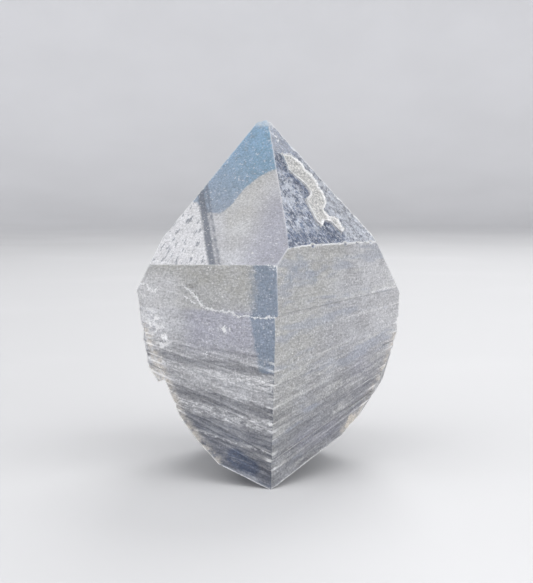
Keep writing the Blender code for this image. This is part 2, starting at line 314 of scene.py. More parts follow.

# Growth bands of the front left face, whose levels fall a little towards its left: level and
# strength of the dark, sunk bands, painted as shade, and of the bright, speckled ones, painted as a
# highlight on their raised steps. Below the bands the dark share stays high, as painted shade.
BAND_TURN = 0.17
DARK_BANDS = (
    (0.0, 0.0), (13.4, 0.0), (13.8, 0.6), (14.1, 0.2), (15.1, 0.2), (15.4, 0.62), (16.3, 0.6),
    (16.7, 0.0), (18.0, 0.0), (19.6, 0.05), (20.4, 0.85), (21.7, 0.9), (22.1, 0.6), (23.4, 0.6),
    (24.0, 1.0), (25.7, 1.1), (26.3, 1.0), (27.2, 1.1), (60.0, 1.2),
)
BRIGHT_BANDS = (
    (0.0, 0.0), (13.95, 0.0), (14.1, 0.5), (14.3, 0.0), (16.6, 0.0), (16.9, 0.9), (17.7, 0.7),
    (18.2, 0.2), (19.8, 0.1), (21.9, 0.1), (22.1, 0.8), (23.3, 0.9), (23.5, 0.1), (25.9, 0.0),
    (26.0, 0.95), (26.15, 0.95), (26.25, 0.0), (60.0, 0.0),
)
FRONT_EDGE_SHADE = -8.5

# The marks that carry zones, lines and chips to the finish. Distances from a zone or a line (mm)
# start far outside it, and all others start at 0.
MARKS = (
    "growth_level", "edge", "edge_light", "blue", "stripe", "lit_step_and_crack", "island", "milk", "olive", "deep",
    "lilac", "prism", "etched", "broken", "scar", "clouds", "beige", "lined", "speckled_highlight", "frosted",
    "teal", "front_right",
)
MARK_START = {"blue": -FAR, "stripe": -FAR, "island": -FAR, "lit_step_and_crack": FAR}

# How the fine net is laid.
TINY = 1e-30
MERGE_MM = 0.001
FLAT_ANGLE = math.radians(0.2)
LEVEL_PLANE = 0.05
SAME_PLANE_MM = 0.05
SMALL_PATCH_MM2 = 0.3
SPOTS_AT_ONCE = 2000
SPOT_SHIFT = 0.25
HEX_ROW = 0.866
CDT_SLACK = 1e-7

# The quartz: its index of refraction, the depth of its finest bumps, and the directions in which
# the pits of the milky corner and the grains of the etched face are drawn out.
QUARTZ_IOR = 1.54
BUMP_MM = 0.02
TIP_RISE = (0.36, 0.48, 0.8)
TIP_EDGE = (0.52, -0.15, -0.84)
BLUE_HEIGHTS_MM = (34.0, 46.0)
FLOOR_ROUGHNESS = 0.7

# The tints of the quartz, which CrystalLook holds.
TINTS = (
    "satin", "satin_light", "lilac", "olive", "white", "deep", "blue_tip", "blue_low", "blue_deep",
    "stripe", "etched", "crust", "crust_light", "broken", "scar", "beige", "navy", "cloud", "teal",
    "warm", "band_blue", "night",
)

# Textures along the growth levels: their scale along and across the levels, and their detail.
STREAKS = {
    "Broad": (0.08, 0.8, 5.0),
    "Fine": (0.35, 2.6, 4.0),
    "Hair": (1.4, 5.0, 3.0),
    "Tint": (0.09, 0.33, 3.0),
}
STREAK_ROUGHNESS = 0.65

# Frosting at four sizes: scale, detail and roughness. Sparkles are the peaks of a fifth one.
FROST = {
    "Broad": (0.3, 2.0, 0.5),
    "Cluster": (0.55, 2.0, 0.5),
    "Mottle": (1.2, 4.0, 0.65),
    "Grain": (4.0, 3.0, 0.75),
}
SPARKLE = (3.8, 1.0, 0.5)
SPARKLE_PEAKS = (0.63, 0.71)
BEADS = (2.4, 3.0, 0.8)

# Noises of single places: scale, detail and roughness, and where their peaks begin and are full.
PEAKS = {
    "dashes": (2.2, 3.0, 0.65, 0.56, 0.63),
    "etched_light": (1.6, 3.0, 0.6, 0.4, 0.6),
    "etched_dark": (4.4, 4.0, 0.85, 0.48, 0.58),
    "etched_grains": (3.6, 4.0, 0.85, 0.51, 0.59),
    "etched_clouds": (0.85, 5.0, 0.8, 0.48, 0.54),
}

# Ragged borders: the mark, the frost texture that makes it uneven, by how much (mm), and where
# what lies within begins and is full.
BORDERS = {
    "in_blue": ("blue", "Mottle", 1.0, -0.2, 0.35),
    "in_stripe": ("stripe", "Mottle", 0.6, -0.15, 0.3),
    "edge_line": ("edge", "Grain", 0.4, 0.17, 0.05),
    "edge_bites": ("edge", "Mottle", 1.5, 0.1, -0.1),
}

# The crust, and the cracks and lit steps whose white line is a painted highlight: how ragged (mm),
# and where the crust, its rim and the cracks and steps begin and are full.
CRUST_RAGGED = 1.1
CRUST_INSET = 0.14
CRUST_BORDER = (-0.06, 0.06)
RIM_MIDDLE = 0.05
RIM_WIDTH = (0.22, 0.1)
STEP_AND_CRACK_RAGGED = 13.0
STEP_AND_CRACK_WIDTH = (0.6, 0.0)

# Masks cut from the textures: the texture, where the mask begins and where it is full.
MASKS = {
    "pale_patches": ("frost", "Broad", 0.35, 0.65),
    "wide_patches": ("frost", "Mottle", 0.3, 0.6),
    "dark_mottle": ("frost", "Mottle", 0.5, 0.72),
    "broad_dark": ("streak", "Broad", 0.45, 0.36),
    "fine_dark": ("streak", "Fine", 0.45, 0.34),
    "fine_bright": ("streak", "Fine", 0.52, 0.62),
    "grainy": ("frost", "Grain", 0.42, 0.56),
    "hair_specks": ("streak", "Hair", 0.46, 0.56),
    "speck_patches": ("frost", "Mottle", 0.38, 0.5),
    "hair_bright": ("streak", "Hair", 0.5, 0.66),
    "hair_dark": ("streak", "Hair", 0.48, 0.34),
    "broad_bright": ("streak", "Broad", 0.5, 0.62),
    "tint_bright": ("streak", "Tint", 0.53, 0.63),
    "fleck_grains": ("frost", "Grain", 0.58, 0.68),
    "fleck_clusters": ("frost", "Cluster", 0.5, 0.66),
    "frosted_patches": ("frost", "Mottle", 0.46, 0.54),
    "crust_grains": ("frost", "Grain", 0.4, 0.62),
    "stain_patches": ("frost", "Mottle", 0.34, 0.56),
}

# Textures stretched to a new range: the texture, its own range and the new one.
SHADES = {
    "mottled": ("frost", "Mottle", 0.3, 0.7, 0.5, 1.0),
    "fine_gaps": ("streak", "Fine", 0.35, 0.65, 1.0, 0.5),
    "broken_mottle": ("frost", "Mottle", 0.3, 0.7, 0.3, 0.8),
    "chip_gaps": ("frost", "Mottle", 0.35, 0.65, 0.3, 0.9),
    "line_gaps": ("frost", "Mottle", 0.35, 0.6, 0.55, 1.0),
    "roughness": ("frost", "Mottle", 0.3, 0.7, 0.3, 0.44),
}

# Layers of colour in the order in which they are laid: the tint, its strength, and the masks and
# marks whose product is its share.
GROUND_LAYERS = (
    ("satin_light", 1.0, "pale_patches"),
    ("lilac", 0.8, "lilac"),
    ("olive", 1.0, "olive", "mottled"),
    ("white", 1.0, "milk", "mottled"),
    # painted shade, darkest towards the foot
    ("deepest", 1.0, "deep", "fine_gaps"),
    ("stripe", 0.75, "dashes", "milk", "off_prism"),
    ("zone_blue", 0.92, "in_blue"),
    ("stripe", 0.9, "in_stripe"),
)
LINE_LAYERS = (
    ("deep", 0.3, "broad_dark", "lined"),
    ("deep", 0.6, "fine_dark", "lined"),
    ("white", 0.85, "fine_bright", "lined", "grainy", "out_of_painted_shade"),
    # white specks painted as a highlight on the raised band steps
    ("scar", 0.62, "speckled_highlight", "hair_specks", "speck_patches"),
    ("white", 0.4, "hair_bright", "prism", "off_blue", "out_of_painted_shade"),
    ("deep", 0.3, "hair_dark", "prism", "off_blue"),
    ("warm", 0.5, "broad_bright", "front_right", "wide_patches"),
    ("band_blue", 0.5, "tint_bright", "front_right"),
    ("scar", 0.85, "flecks"),
)
TOP_LAYERS = (
    ("etched_ground", 1.0, "etched"),
    ("crust_ground", 1.0, "in_crust"),
    ("scar", 0.95, "crust_rim"),
    ("broken", 1.0, "broken", "broken_mottle"),
    ("beige", 0.7, "beige", "stain_patches"),
)

# Lights: turn from the front and rise (degrees), distance, size (m) and power (W).
SOFT_LIGHTS = {
    "key_light": (-38.0, 38.0, 0.6, 0.8, 4.2),
    "fill_light": (48.0, 30.0, 0.6, 0.8, 5.4),
    "back_light": (165.0, 40.0, 0.7, 0.35, 2.6),
}

# The floor's rings (shares of its radius), the points of its rising rim, and its sectors.
FLOOR_RINGS = (0.2, 0.6)
RIM_POINTS = 17
BOWL_SECTORS = 96
SENSOR_MM = 36.0
CAMERA_CLIP = (0.005, 20.0)


# ---------------------------------------------------------------------------------------------
# Places on the crystal


def standing_axes():
    """The crystal's own axes as columns: turned about Z, then leaned about Y."""
    turn = Matrix.Rotation(FRONT_EDGE_TURN, 3, "Z")
    lean = Matrix.Rotation(LEAN, 3, "Y")
    return np.array(lean @ turn)


def face_normal(name):
    """Outward normal of a face on the upright crystal, from its turn and polar angle."""
    turn, polar, _ = FACES[name]
    turn = math.radians(turn)
    polar = math.radians(polar)
    across = math.sin(polar)
    return np.array((across * math.sin(turn), -across * math.cos(turn), math.cos(polar)))


def upright(points):
    """Scene points (m) as millimetres on the upright crystal, measured from its centre."""
    return (points / MM - np.array(CENTRE_MM)) @ standing_axes()


def on_face(places, name):
    """Across, up and out of a face, for places on the upright crystal (mm)."""
    normal = face_normal(name)
    right = np.cross((0.0, 0.0, 1.0), normal)
    right /= np.linalg.norm(right)
    upward = np.cross(normal, right)
    return places @ right, places @ upward, places @ normal - FACES[name][2]


def growth_level(places):
    """Drop of the growth level through each place: its height below the fan line, divided by its
    share of the way from that line to the front edge."""
    ahead = FAN_DEPTH - places[:, 1]
    share = np.clip(ahead / FAN_REACH, LEAST_SHARE, None)
    return (LEVEL_TOP - places[:, 2]) / share


def smooth(low, high, values):
    """0 below low, 1 above high and a smooth ramp between; low may be the greater one."""
    t = np.clip((values - low) / (high - low), 0.0, 1.0)
    return t * t * (3.0 - 2.0 * t)


def ramp(name, values):
    """A ramp of the table, by name: 0 at its start, 1 at its end and smooth between."""
    return smooth(*RAMPS[name], values)


def cell_values(cells, seed):
    """A repeatable value from 0 to 1 for each whole-number cell, by mixing its three numbers."""
    x, y, z = (cells[:, i].astype(np.int64).astype(np.uint32) for i in range(3))
    mixed = x * np.uint32(73856093) ^ y * np.uint32(19349663) ^ z * np.uint32(83492791)
    mixed = (mixed + np.uint32(seed)) * np.uint32(2654435761)
    mixed = (mixed ^ (mixed >> np.uint32(15))) * np.uint32(2246822519)
    mixed = mixed ^ (mixed >> np.uint32(13))
    return (mixed & np.uint32(65535)) / 65535.0


def noise(places, size, seed):
    """Smooth noise from 0 to 1: the corner values of each cell of a given size, blended by a
    smooth ramp along each axis."""
    scaled = places / size
    cell = np.floor(scaled)
    part = scaled - cell
    part = part * part * (3.0 - 2.0 * part)
    total = np.zeros(len(places))
    for corner in np.ndindex(2, 2, 2):
        step = np.array(corner)
        weight = np.prod(np.where(step, part, 1.0 - part), axis=1)
        total += weight * cell_values(cell + step, seed)
    return total


def cloud(places, size, seed, octaves=3):
    """Noise of several sizes, each half as wide and half as strong as the one before."""
    total = np.zeros(len(places))
    strength = 1.0
    reach = 0.0
    for octave in range(octaves):
        total += strength * noise(places, size / 2**octave, seed + octave)
        reach += strength
        strength /= 2.0
    return total / reach


# ---------------------------------------------------------------------------------------------
# The net: the solid's flat patches, each filled with its own even rows of points


def merged_solid(name):
    """Upright places (mm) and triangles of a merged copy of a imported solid."""
    shape = bmesh.new()
    shape.from_mesh(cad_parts[name].data)
    bmesh.ops.remove_doubles(shape, verts=shape.verts, dist=MERGE_MM * MM)
    bmesh.ops.triangulate(shape, faces=shape.faces)
    shape.verts.index_update()
    points = np.array([vertex.co for vertex in shape.verts])
    triangles = np.array([[vertex.index for vertex in face.verts] for face in shape.faces])
    shape.free()
    return upright(points), triangles


def flat_patches(places, triangles):
    """Joins the triangles that meet in one plane.

    Gives each triangle its patch number, and each edge once as its two points, with the patch
    numbers on its two sides."""
    normals = triangle_normals(places, triangles)
    ends = np.sort(triangles[:, [[0, 1], [1, 2], [2, 0]]].reshape(-1, 2), axis=1)
    edges, rows = np.unique(ends, axis=0, return_inverse=True)
    sides = np.argsort(rows.ravel(), kind="stable").reshape(-1, 2) // 3
    agree = (normals[sides[:, 0]] * normals[sides[:, 1]]).sum(axis=1) > math.cos(FLAT_ANGLE)
    first, second = sides[agree].T
    patch = np.arange(len(triangles))
    while True:
        lowest = patch.copy()
        np.minimum.at(lowest, first, patch[second])
        np.minimum.at(lowest, second, patch[first])
        lowest = lowest[lowest]
        if (lowest == patch).all():
            return patch, edges, patch[sides]
        patch = lowest


def triangle_normals(places, triangles, unit=True):
    """Normals of triangles, of unit length or else as long as twice their area."""
    a, b, c = (places[triangles[:, i]] for i in range(3))
    normals = np.cross(b - a, c - a)
    if not unit:
        return normals
    return normals / np.maximum(np.linalg.norm(normals, axis=1, keepdims=True), TINY)


def cut_borders(places, edges, pitch):
    """Cuts every edge into equal parts no longer than the pitch.

    Gives all places with the new ones added, the ends of each part, and the edge it came from."""
    start, end = edges.T
    lengths = np.linalg.norm(places[end] - places[start], axis=1)
    parts = np.ceil(lengths / pitch).astype(int)
    owner = np.repeat(np.arange(len(edges)), parts)
    before = np.cumsum(parts) - parts
    number = np.arange(len(owner)) - before[owner]
    share = (number / parts[owner])[:, None]
    added = places[start[owner]] * (1.0 - share) + places[end[owner]] * share
    inner = number > 0
    index = np.where(inner, len(places) - 1 + np.cumsum(inner), start[owner])
    last = number == parts[owner] - 1
    following = np.where(last, end[owner], np.roll(index, -1))
    return np.vstack((places, added[inner])), np.stack((index, following), axis=1), owner


def inside_and_gap(spots, starts, ends):
    """Whether each flat spot lies inside closed borders, by counting how many of them it sees to
    its right, and how far it is from the nearest one."""
    inside = np.zeros(len(spots), dtype=bool)
    gap = np.zeros(len(spots))
    way = ends - starts
    length = np.maximum((way**2).sum(axis=1), TINY)
    slope = way[:, 0] / np.where(way[:, 1] == 0.0, 1.0, way[:, 1])
    for first in range(0, len(spots), SPOTS_AT_ONCE):
        part = slice(first, first + SPOTS_AT_ONCE)
        offset = spots[part, None] - starts
        share = np.clip((offset * way).sum(axis=2) / length, 0.0, 1.0)
        gap[part] = np.linalg.norm(offset - share[..., None] * way, axis=2).min(axis=1)
        spot_up = spots[part, 1, None]
        straddles = (starts[:, 1] > spot_up) != (ends[:, 1] > spot_up)
        to_right = offset[..., 0] < offset[..., 1] * slope
        inside[part] = (straddles & to_right).sum(axis=1) % 2 == 1
    return inside, gap


def plane_axes(normal):
    """Right and upward directions in the plane with a given outward normal."""
    right = np.cross((0.0, 0.0, 1.0), normal)
    if np.linalg.norm(right) < LEVEL_PLANE:
        right = np.array((1.0, 0.0, 0.0))
    right = right / np.linalg.norm(right)
    return right, np.cross(normal, right)


def level_height(name, across, level):
    """Height up a face at which a growth level crosses it.

    Ahead of the fan's end the level falls in proportion to the way from the fan line; behind it,
    by the least share. Both are straight lines in the height, so each is solved outright."""
    normal = face_normal(name)
    right, upward = plane_axes(normal)
    foot = normal * FACES[name][2] + across[:, None] * right
    ahead = level / FAN_REACH
    height = (LEVEL_TOP - foot[:, 2] - ahead * (FAN_DEPTH - foot[:, 1])) / (upward[2] - ahead * upward[1])
    behind = (LEVEL_TOP - foot[:, 2] - level * LEAST_SHARE) / upward[2]
    share = (FAN_DEPTH - foot[:, 1] - upward[1] * height) / FAN_REACH
    return np.where(share > LEAST_SHARE, height, behind)


def rows_of_spots(low, high, across_pitch, row_pitch):
    """Evenly spaced spots between two corners, every other row set half a pitch along, and each
    spot shifted a little so that no four lie on one circle."""
    columns = np.arange(low[0], high[0] + across_pitch, across_pitch)
    rows = np.arange(low[1], high[1] + row_pitch, row_pitch)
    across, up = np.meshgrid(columns, rows)
    across = across + 0.5 * across_pitch * (np.arange(len(rows)) % 2)[:, None]
    cells = np.stack((np.arange(across.size), np.zeros(across.size), np.zeros(across.size)), axis=1)
    shift = SPOT_SHIFT * across_pitch * (cell_values(cells, len(rows)) - 0.5)
    return across.ravel() + shift, up.ravel()


def patch_face(places, normal):
    """Name of the flat face that a patch lies on, or None."""
    for name, (_, _, distance) in FACES.items():
        lean = normal @ face_normal(name)
        depth = distance - (places @ face_normal(name)).mean()
        if lean > math.cos(2.0 * FLAT_ANGLE) and abs(depth) < SAME_PLANE_MM:
            return name
    return None


def filled_patch(places, borders, normal, settings):
    """Triangles of one flat patch: its border points and rows of spots inside, joined as evenly
    as they can be (Delaunay). On the prism the rows follow the growth levels."""
    used, local = np.unique(borders, return_inverse=True)
    local = local.reshape(-1, 2)
    right, upward = plane_axes(normal)
    rim = np.stack((places[used] @ right, places[used] @ upward), axis=1)
    name = patch_face(places[used], normal)
    if name in PRISM:
        level = growth_level(places[used])
        low, high = (rim[:, 0].min(), level.min()), (rim[:, 0].max(), level.max())
        across, level = rows_of_spots(low, high, settings.cross_pitch_mm, settings.level_pitch_mm)
        spots = np.stack((across, level_height(name, across, level)), axis=1)
        stretch = settings.cross_pitch_mm / settings.level_pitch_mm
        least = 0.6 * settings.level_pitch_mm
    else:
        pitch = settings.pitch_mm
        across, up = rows_of_spots(rim.min(axis=0), rim.max(axis=0), pitch, pitch * HEX_ROW)
        spots = np.stack((across, up), axis=1)
        stretch = 1.0
        least = 0.45 * pitch
    inside, gap = inside_and_gap(spots, rim[local[:, 0]], rim[local[:, 1]])
    spots = spots[inside & (gap > least)]
    flat = np.vstack((rim, spots)) * (1.0, stretch)
    flat = flat.astype(np.float32).astype(float)
    result = delaunay_2d_cdt([Vector(spot) for spot in flat], local.tolist(), [], 1, CDT_SLACK, True)
    origin = np.array([ids[0] if ids else -1 for ids in result[3]])
    corners = origin[np.array(result[2])]
    middle = flat[corners].mean(axis=1)
    kept, _ = inside_and_gap(middle, flat[local[:, 0]], flat[local[:, 1]])
    corners = corners[kept & (corners >= 0).all(axis=1)]
    a, b, c = (flat[corners[:, i]] for i in range(3))
    turn = (b[:, 0] - a[:, 0]) * (c[:, 1] - a[:, 1]) - (b[:, 1] - a[:, 1]) * (c[:, 0] - a[:, 0])
    corners = np.where(turn[:, None] < 0.0, corners[:, ::-1], corners)
    out = (places[used] @ normal).mean()
    new = spots[:, :1] * right + spots[:, 1:] * upward + out * normal
    return used, new, corners


def crystal_net(settings):
    """Upright places (mm) and triangles of the fine net over the whole solid."""
    places, triangles = merged_solid(CRYSTAL_NODE)
    patch, edges, sides = flat_patches(places, triangles)
    outline = sides[:, 0] != sides[:, 1]
    coarse = len(places)
    places, parts, owner = cut_borders(places, edges[outline], settings.pitch_mm)
    sides = sides[outline][owner]
    weighted = triangle_normals(places, triangles, unit=False)
    nets = []
    for number in np.unique(patch):
        own = triangles[patch == number]
        borders = parts[(sides == number).any(axis=1)]
        normal = weighted[patch == number].sum(axis=0)
        area = np.linalg.norm(normal) / 2.0
        if borders.max() < coarse and area < SMALL_PATCH_MM2:
            nets.append(own)
            continue
        used, new, corners = filled_patch(places, borders, normal / (2.0 * area), settings)
        index = np.concatenate((used, len(places) + np.arange(len(new))))
        places = np.vstack((places, new))
        nets.append(index[corners])
    triangles = np.vstack(nets)
    used, corners = np.unique(triangles, return_inverse=True)
    return places[used], corners.reshape(-1, 3)


# ---------------------------------------------------------------------------------------------
# Faces and edges of the net


def point_normals(places, triangles):
    """Unit normals of the points, as the mean of the triangles around them by area."""
    normals = triangle_normals(places, triangles, unit=False)
    summed = np.zeros_like(places)
    for corner in triangles.T:
        np.add.at(summed, corner, normals)
    return summed / np.maximum(np.linalg.norm(summed, axis=1, keepdims=True), TINY)


def face_planes():
    """Normals and distances of all flat faces, as arrays."""
    return np.array([face_normal(name) for name in FACES]), np.array([f[2] for f in FACES.values()])


def nearest_face(places, normals):
    """Row of the flat face each place lies on: the nearest plane that its normal agrees with."""
    planes, distances = face_planes()
    depth = distances - places @ planes.T
    return (np.abs(depth) + LEAN_COST_MM * (1.0 - normals @ planes.T)).argmin(axis=1)


def on_faces(own, *names):
    """1 for places on any of the named faces, else 0."""
    rows = list(FACES)
    return np.isin(own, [rows.index(name) for name in names]).astype(float)


def nearest_edge(places, own):
    """Distance to the nearest edge of each place's own face (mm), and the row of the face beyond.

    It is the depth under a plane that leans away from the face, divided by the sine of the angle
    between the two."""
    planes, distances = face_planes()
    depth = np.abs(distances - places @ planes.T)
    between = planes @ planes.T
    sine = np.sqrt(np.clip(1.0 - between**2, LEAST_SINE**2, 1.0))
    reach = depth / sine[own]
    reach[between[own] > EDGE_LEAN] = np.inf
    beyond = reach.argmin(axis=1)
    return reach[np.arange(len(places)), beyond], beyond


def edge_lights(own, beyond):
    """How bright each edge is chipped, from the table of edges."""
    rows = list(FACES)
    table = np.full((len(rows), len(rows)), PLAIN_EDGE_LIGHT)
    for first, second, light in EDGE_LIGHTS:
        table[rows.index(first), rows.index(second)] = light
        table[rows.index(second), rows.index(first)] = light
    return table[own, beyond]


def line_distance(across, up, line):
    """Distance of places from an open line of points on a face (mm)."""
    spots = np.stack((across, up), axis=1)
    nearest = np.full(len(spots), np.inf)
    for start, end in zip(line[:-1], line[1:]):
        start = np.array(start)
        way = np.array(end) - start
        share = np.clip((spots - start) @ way / (way @ way), 0.0, 1.0)
        nearest = np.minimum(nearest, np.linalg.norm(spots - start - share[:, None] * way, axis=1))
    return nearest


def outline_distance(across, up, outline):
    """Distance of places from a closed outline on a face (mm), below 0 outside it."""
    ring = np.array(outline)
    inside, gap = inside_and_gap(np.stack((across, up), axis=1), ring, np.roll(ring, -1, axis=0))
    return np.where(inside, gap, -gap)


def height_over(across, up, line):
    """Height of places over a line that is given by its points from left to right (mm)."""
    xs, ys = np.array(line).T
    return up - np.interp(across, xs, ys)


# ---------------------------------------------------------------------------------------------
# The relief: how far in or out each point of the net is moved


def low_front_edge(places, own, beyond):
    """1 along the lower part of the edge between the two front faces, which is whole and dark."""
    front = on_faces(own, "front_left", "front_right") * on_faces(beyond, "front_left", "front_right")
    return front * ramp("low_edge", places[:, 2])


def band_strength(places, level, table):
    """Strength of the front left face's growth bands at each place, from a table of levels."""
    across, _, _ = on_face(places, "front_left")
    levels, strengths = np.array(table).T
    return np.interp(level + BAND_TURN * across, levels, strengths)


def growth_steps(places, level, pitch, seed):
    """Low growth steps: a saw of the growth level, which climbs slowly and drops at once. The level
    wanders a little along the face, and each step fades in and out."""
    wander = 0.5 * noise(places, 9.0, seed) + 0.25 * noise(places, 3.0, seed + 1)
    phase = level / pitch + wander
    rise = phase - np.floor(phase)
    saw = rise * ramp("step_drop", rise)
    drawn_out = np.stack((places[:, 0] / 5.0, places[:, 1] / 5.0, level / (1.2 * pitch)), axis=1)
    return saw * ramp("step_lengths", noise(drawn_out, 1.0, seed + 2))


def ledge_fill(places, own):
    """Shift (mm) that fills most of the ledges on the two front faces.

    A place goes a share of its way out to its own face's plane. Close to the front edge it goes the
    same share towards both planes: the two goals, times the inverse of the table of products of the
    two normals with one another, times the normals."""
    names = ("front_left", "front_right")
    planes = np.array([face_normal(name) for name in names])
    depths = np.stack([-on_face(places, name)[2] for name in names], axis=1)
    goals = LEDGE_FILL * np.clip(depths, 0.0, LEDGE_DEPTH)
    goals *= ramp("filled_below", places[:, 2])[:, None]
    to_both = goals @ np.linalg.inv(planes @ planes.T) @ planes
    shift = np.zeros_like(places)
    for row, name in enumerate(names):
        near = smooth(LEDGE_DEPTH, 0.75 * LEDGE_DEPTH, depths[:, 1 - row])[:, None]
        outward = goals[:, row, None] * planes[row]
        shift += on_faces(own, name)[:, None] * (outward + near * (to_both - outward))
    return shift


def prism_steps(places, own, level):
    """Growth steps of two widths on the prism, stronger towards the foot."""
    steps = growth_steps(places, level, *WIDE_STEPS) + 0.6 * growth_steps(places, level, *NARROW_STEPS)
    foot_wards = (0.35 + 0.65 * ramp("steps_foot_wards", level)) * (1.0 - 0.6 * on_faces(own, "front_right"))
    return steps * foot_wards * on_faces(own, *PRISM)


def etched_pits(places, own):
    """Wide and narrow pits of the etched tip face, and fainter ones on two hidden tip faces."""
    pits = ramp("wide_pits", cloud(places, *PITS)) + 0.5 * ramp("pinholes", noise(places, *PINHOLES))
    return pits * (on_faces(own, "tip_front_right") + 0.3 * on_faces(own, "tip_right", "tip_back_left"))


def broken_ground(places, own, edge):
    """Shallow hollows that meet in ridges, and rough ground, on the broken faces."""
    hollows = np.abs(2.0 * noise(places, *HOLLOWS) - 1.0)
    hollows += 0.5 * np.abs(2.0 * noise(places, *SMALL_HOLLOWS) - 1.0)
    rough = 1.1 - hollows + 0.4 * cloud(places, *ROUGH_GROUND)
    return rough * on_faces(own, *BROKEN) * ramp("break_inset", edge)


def worn_edges(places, own, edge, beyond):
    """Small bites along the edges, with whole lengths of edge left between."""
    bite = ramp("worn_bites", cloud(places, *BITES))
    bite = bite * ramp("worn_lengths", noise(places, *BITTEN_LENGTHS))
    return ramp("worn_strip", edge) * bite * (1.0 - low_front_edge(places, own, beyond))


def front_left_bands(places, own, level):
    """The front left face's own growth bands: dark ones sunk, bright ones raised by half."""
    bands = band_strength(places, level, DARK_BANDS) - 0.5 * band_strength(places, level, BRIGHT_BANDS)
    bands *= ramp("band_end", level) * ramp("band_lengths", cloud(places, *BAND_PATCHES))
    return bands * on_faces(own, "front_left")


def plate_run_out(places, own):
    """Rise (mm) by which the left end of the sunk plate runs out into the front left face."""
    across, up, out = on_face(places, "front_left")
    sunk = np.clip(-out, 0.0, LEDGE_DEPTH) * on_faces(own, "front_left")
    run_out = ramp("run_out_start", across) * ramp("run_out_end", across) * ramp("run_out_up", up)
    return sunk * run_out


def relief(places, own, settings):
    """Height of the finished surface over the solid at each place (mm): swells on every grown
    face, steps and bands set in from the edges, pits, broken ground and wear. The foot flat stays
    as it is."""
    level = growth_level(places)
    edge, beyond = nearest_edge(places, own)
    inner = ramp("edge_inset", edge)
    height = -settings.swell_mm * cloud(places, *SWELLS) * on_faces(own, *PRISM, *TIP)
    height -= settings.step_mm * prism_steps(places, own, level) * inner
    height -= settings.etch_mm * etched_pits(places, own)
    height -= settings.break_mm * broken_ground(places, own, edge)
    height -= settings.wear_mm * worn_edges(places, own, edge, beyond)
    height -= settings.band_mm * front_left_bands(places, own, level) * inner
    height += plate_run_out(places, own)
    above_ground = (places @ standing_axes().T)[:, 2] + CENTRE_MM[2]
    return height * ramp("foot_clear", above_ground)


# ---------------------------------------------------------------------------------------------
# Marks: fields that tell the finish where each zone, line and chip lies


class Marks:
    """The marks at the corners of the net's triangles, filled in face by face."""

    def __init__(self, places, own, lean):
        self.places = places
        self.own = own
        self.lean = lean
        self.level = growth_level(places)
        self.edge, self.beyond = nearest_edge(places, own)
        self.values = {name: np.full(len(places), MARK_START.get(name, 0.0)) for name in MARKS}

    def face(self, name):
        """Which places lie on a face, and how far across and up it they are."""
        here = on_faces(self.own, name) > 0.0
        across, up, _ = on_face(self.places[here], name)
        return here, across, up

    def put(self, here, **values):
        """Sets marks at some of the places."""
        for name, value in values.items():
            self.values[name][here] = value

    def lift(self, here, **values):
        """Raises marks to new values where those are greater."""
        for name, value in values.items():
            self.values[name][here] = np.maximum(self.values[name][here], value)

    def beside(self, here, *names):
        """1 where the nearest edge is with one of the named faces, else 0."""
        return on_faces(self.beyond[here], *names)


def soft_marks(marks):
    """Zones bounded by ramps across and up a face, and soft marks along lines: each keeps the
    greatest value that any of its zones and lines gives it."""
    for name, zones in SOFT_ZONES.items():
        here, across, up = marks.face(name)
        for mark, share, across_ramps, up_ramps in zones:
            value = np.full(len(across), share)
            for places, ramps in ((across, across_ramps), (up, up_ramps)):
                for ends in ramps:
                    value = value * smooth(*ends, places)
            marks.lift(here, **{mark: value})
    for name, lines in SOFT_LINES.items():
        here, across, up = marks.face(name)
        for mark, share, ends, line in lines:
            marks.lift(here, **{mark: share * smooth(*ends, line_distance(across, up, line))})


def prism_marks(marks):
    """Growth lines on the whole prism, stronger towards the foot, and painted shade that darkens it towards
    the foot.
    """
    prism = on_faces(marks.own, *PRISM)
    everywhere = slice(None)
    marks.put(
        everywhere,
        prism=prism,
        lined=(0.25 + 0.6 * ramp("prism_lined", marks.level)) * prism,
        deep=0.8 * ramp("prism_deep", marks.level) * on_faces(marks.own, *PRISM[1:]),
    )


def hidden_tip_marks(marks):
    """The tip faces behind: blue above a cloudy border, and faintly milky lower down."""
    here = on_faces(marks.own, *TIP[2:]) > 0.0
    places = marks.places[here]
    wander = HIDDEN_BLUE_WANDER * (cloud(places, *TIP_CLOUDS) - 0.5)
    marks.put(
        here,
        blue=(places[:, 2] - HIDDEN_BLUE_FOOT + wander) / HIDDEN_BLUE_FADE,
        milk=0.3 * ramp("hidden_milk", places[:, 2]),
    )


def tip_left_marks(marks):
    """The front left tip face: blue above a curved border, a dark double stripe, a milky corner to
    the left of the stripe and a greyer zone to its right. The blue zone, and the teal and light lilac
    zones of SOFT_ZONES, are partly the quartz's own colour and partly painted internal reflection."""
    here, across, up = marks.face("tip_front_left")
    slope = (STRIPE_FOOT[0] - STRIPE_TOP[0]) / (STRIPE_FOOT[1] - STRIPE_TOP[1])
    off = across - STRIPE_TOP[0] - slope * (up - STRIPE_TOP[1])
    lines = [half_width - np.abs(off - middle) for middle, half_width in STRIPE_LINES]
    grey = ramp("grey_off_stripe", off) * ramp("grey_tip_across", across) * ramp("grey_tip_up", up)
    marks.put(
        here,
        blue=height_over(across, up, BLUE_BORDER),
        stripe=np.maximum(*lines),
        milk=ramp("milky_beyond", off),
        olive=0.5 * grey,
    )


def tip_right_marks(marks):
    """The etched tip face: the crust, white clouds left of it and beyond it, and a bright step."""
    here, across, up = marks.face("tip_front_right")
    island = outline_distance(across, up, ISLAND_OUTLINE)
    left_clouds = ramp("clouds_over_foot", up) * ramp("clouds_left", across) * ramp("clouds_below_tip", up)
    right_clouds = 0.9 * ramp("clouds_right", across)
    marks.put(
        here,
        etched=1.0,
        island=island,
        olive=ramp("grey_etched", across + 0.1 * (up - 5.0)),
        clouds=np.maximum(left_clouds, right_clouds) * ramp("clouds_off_crust", -island),
        lit_step_and_crack=np.minimum(FAR, line_distance(across, up, TIP_STEP) / TIP_STEP_WIDTH),
    )


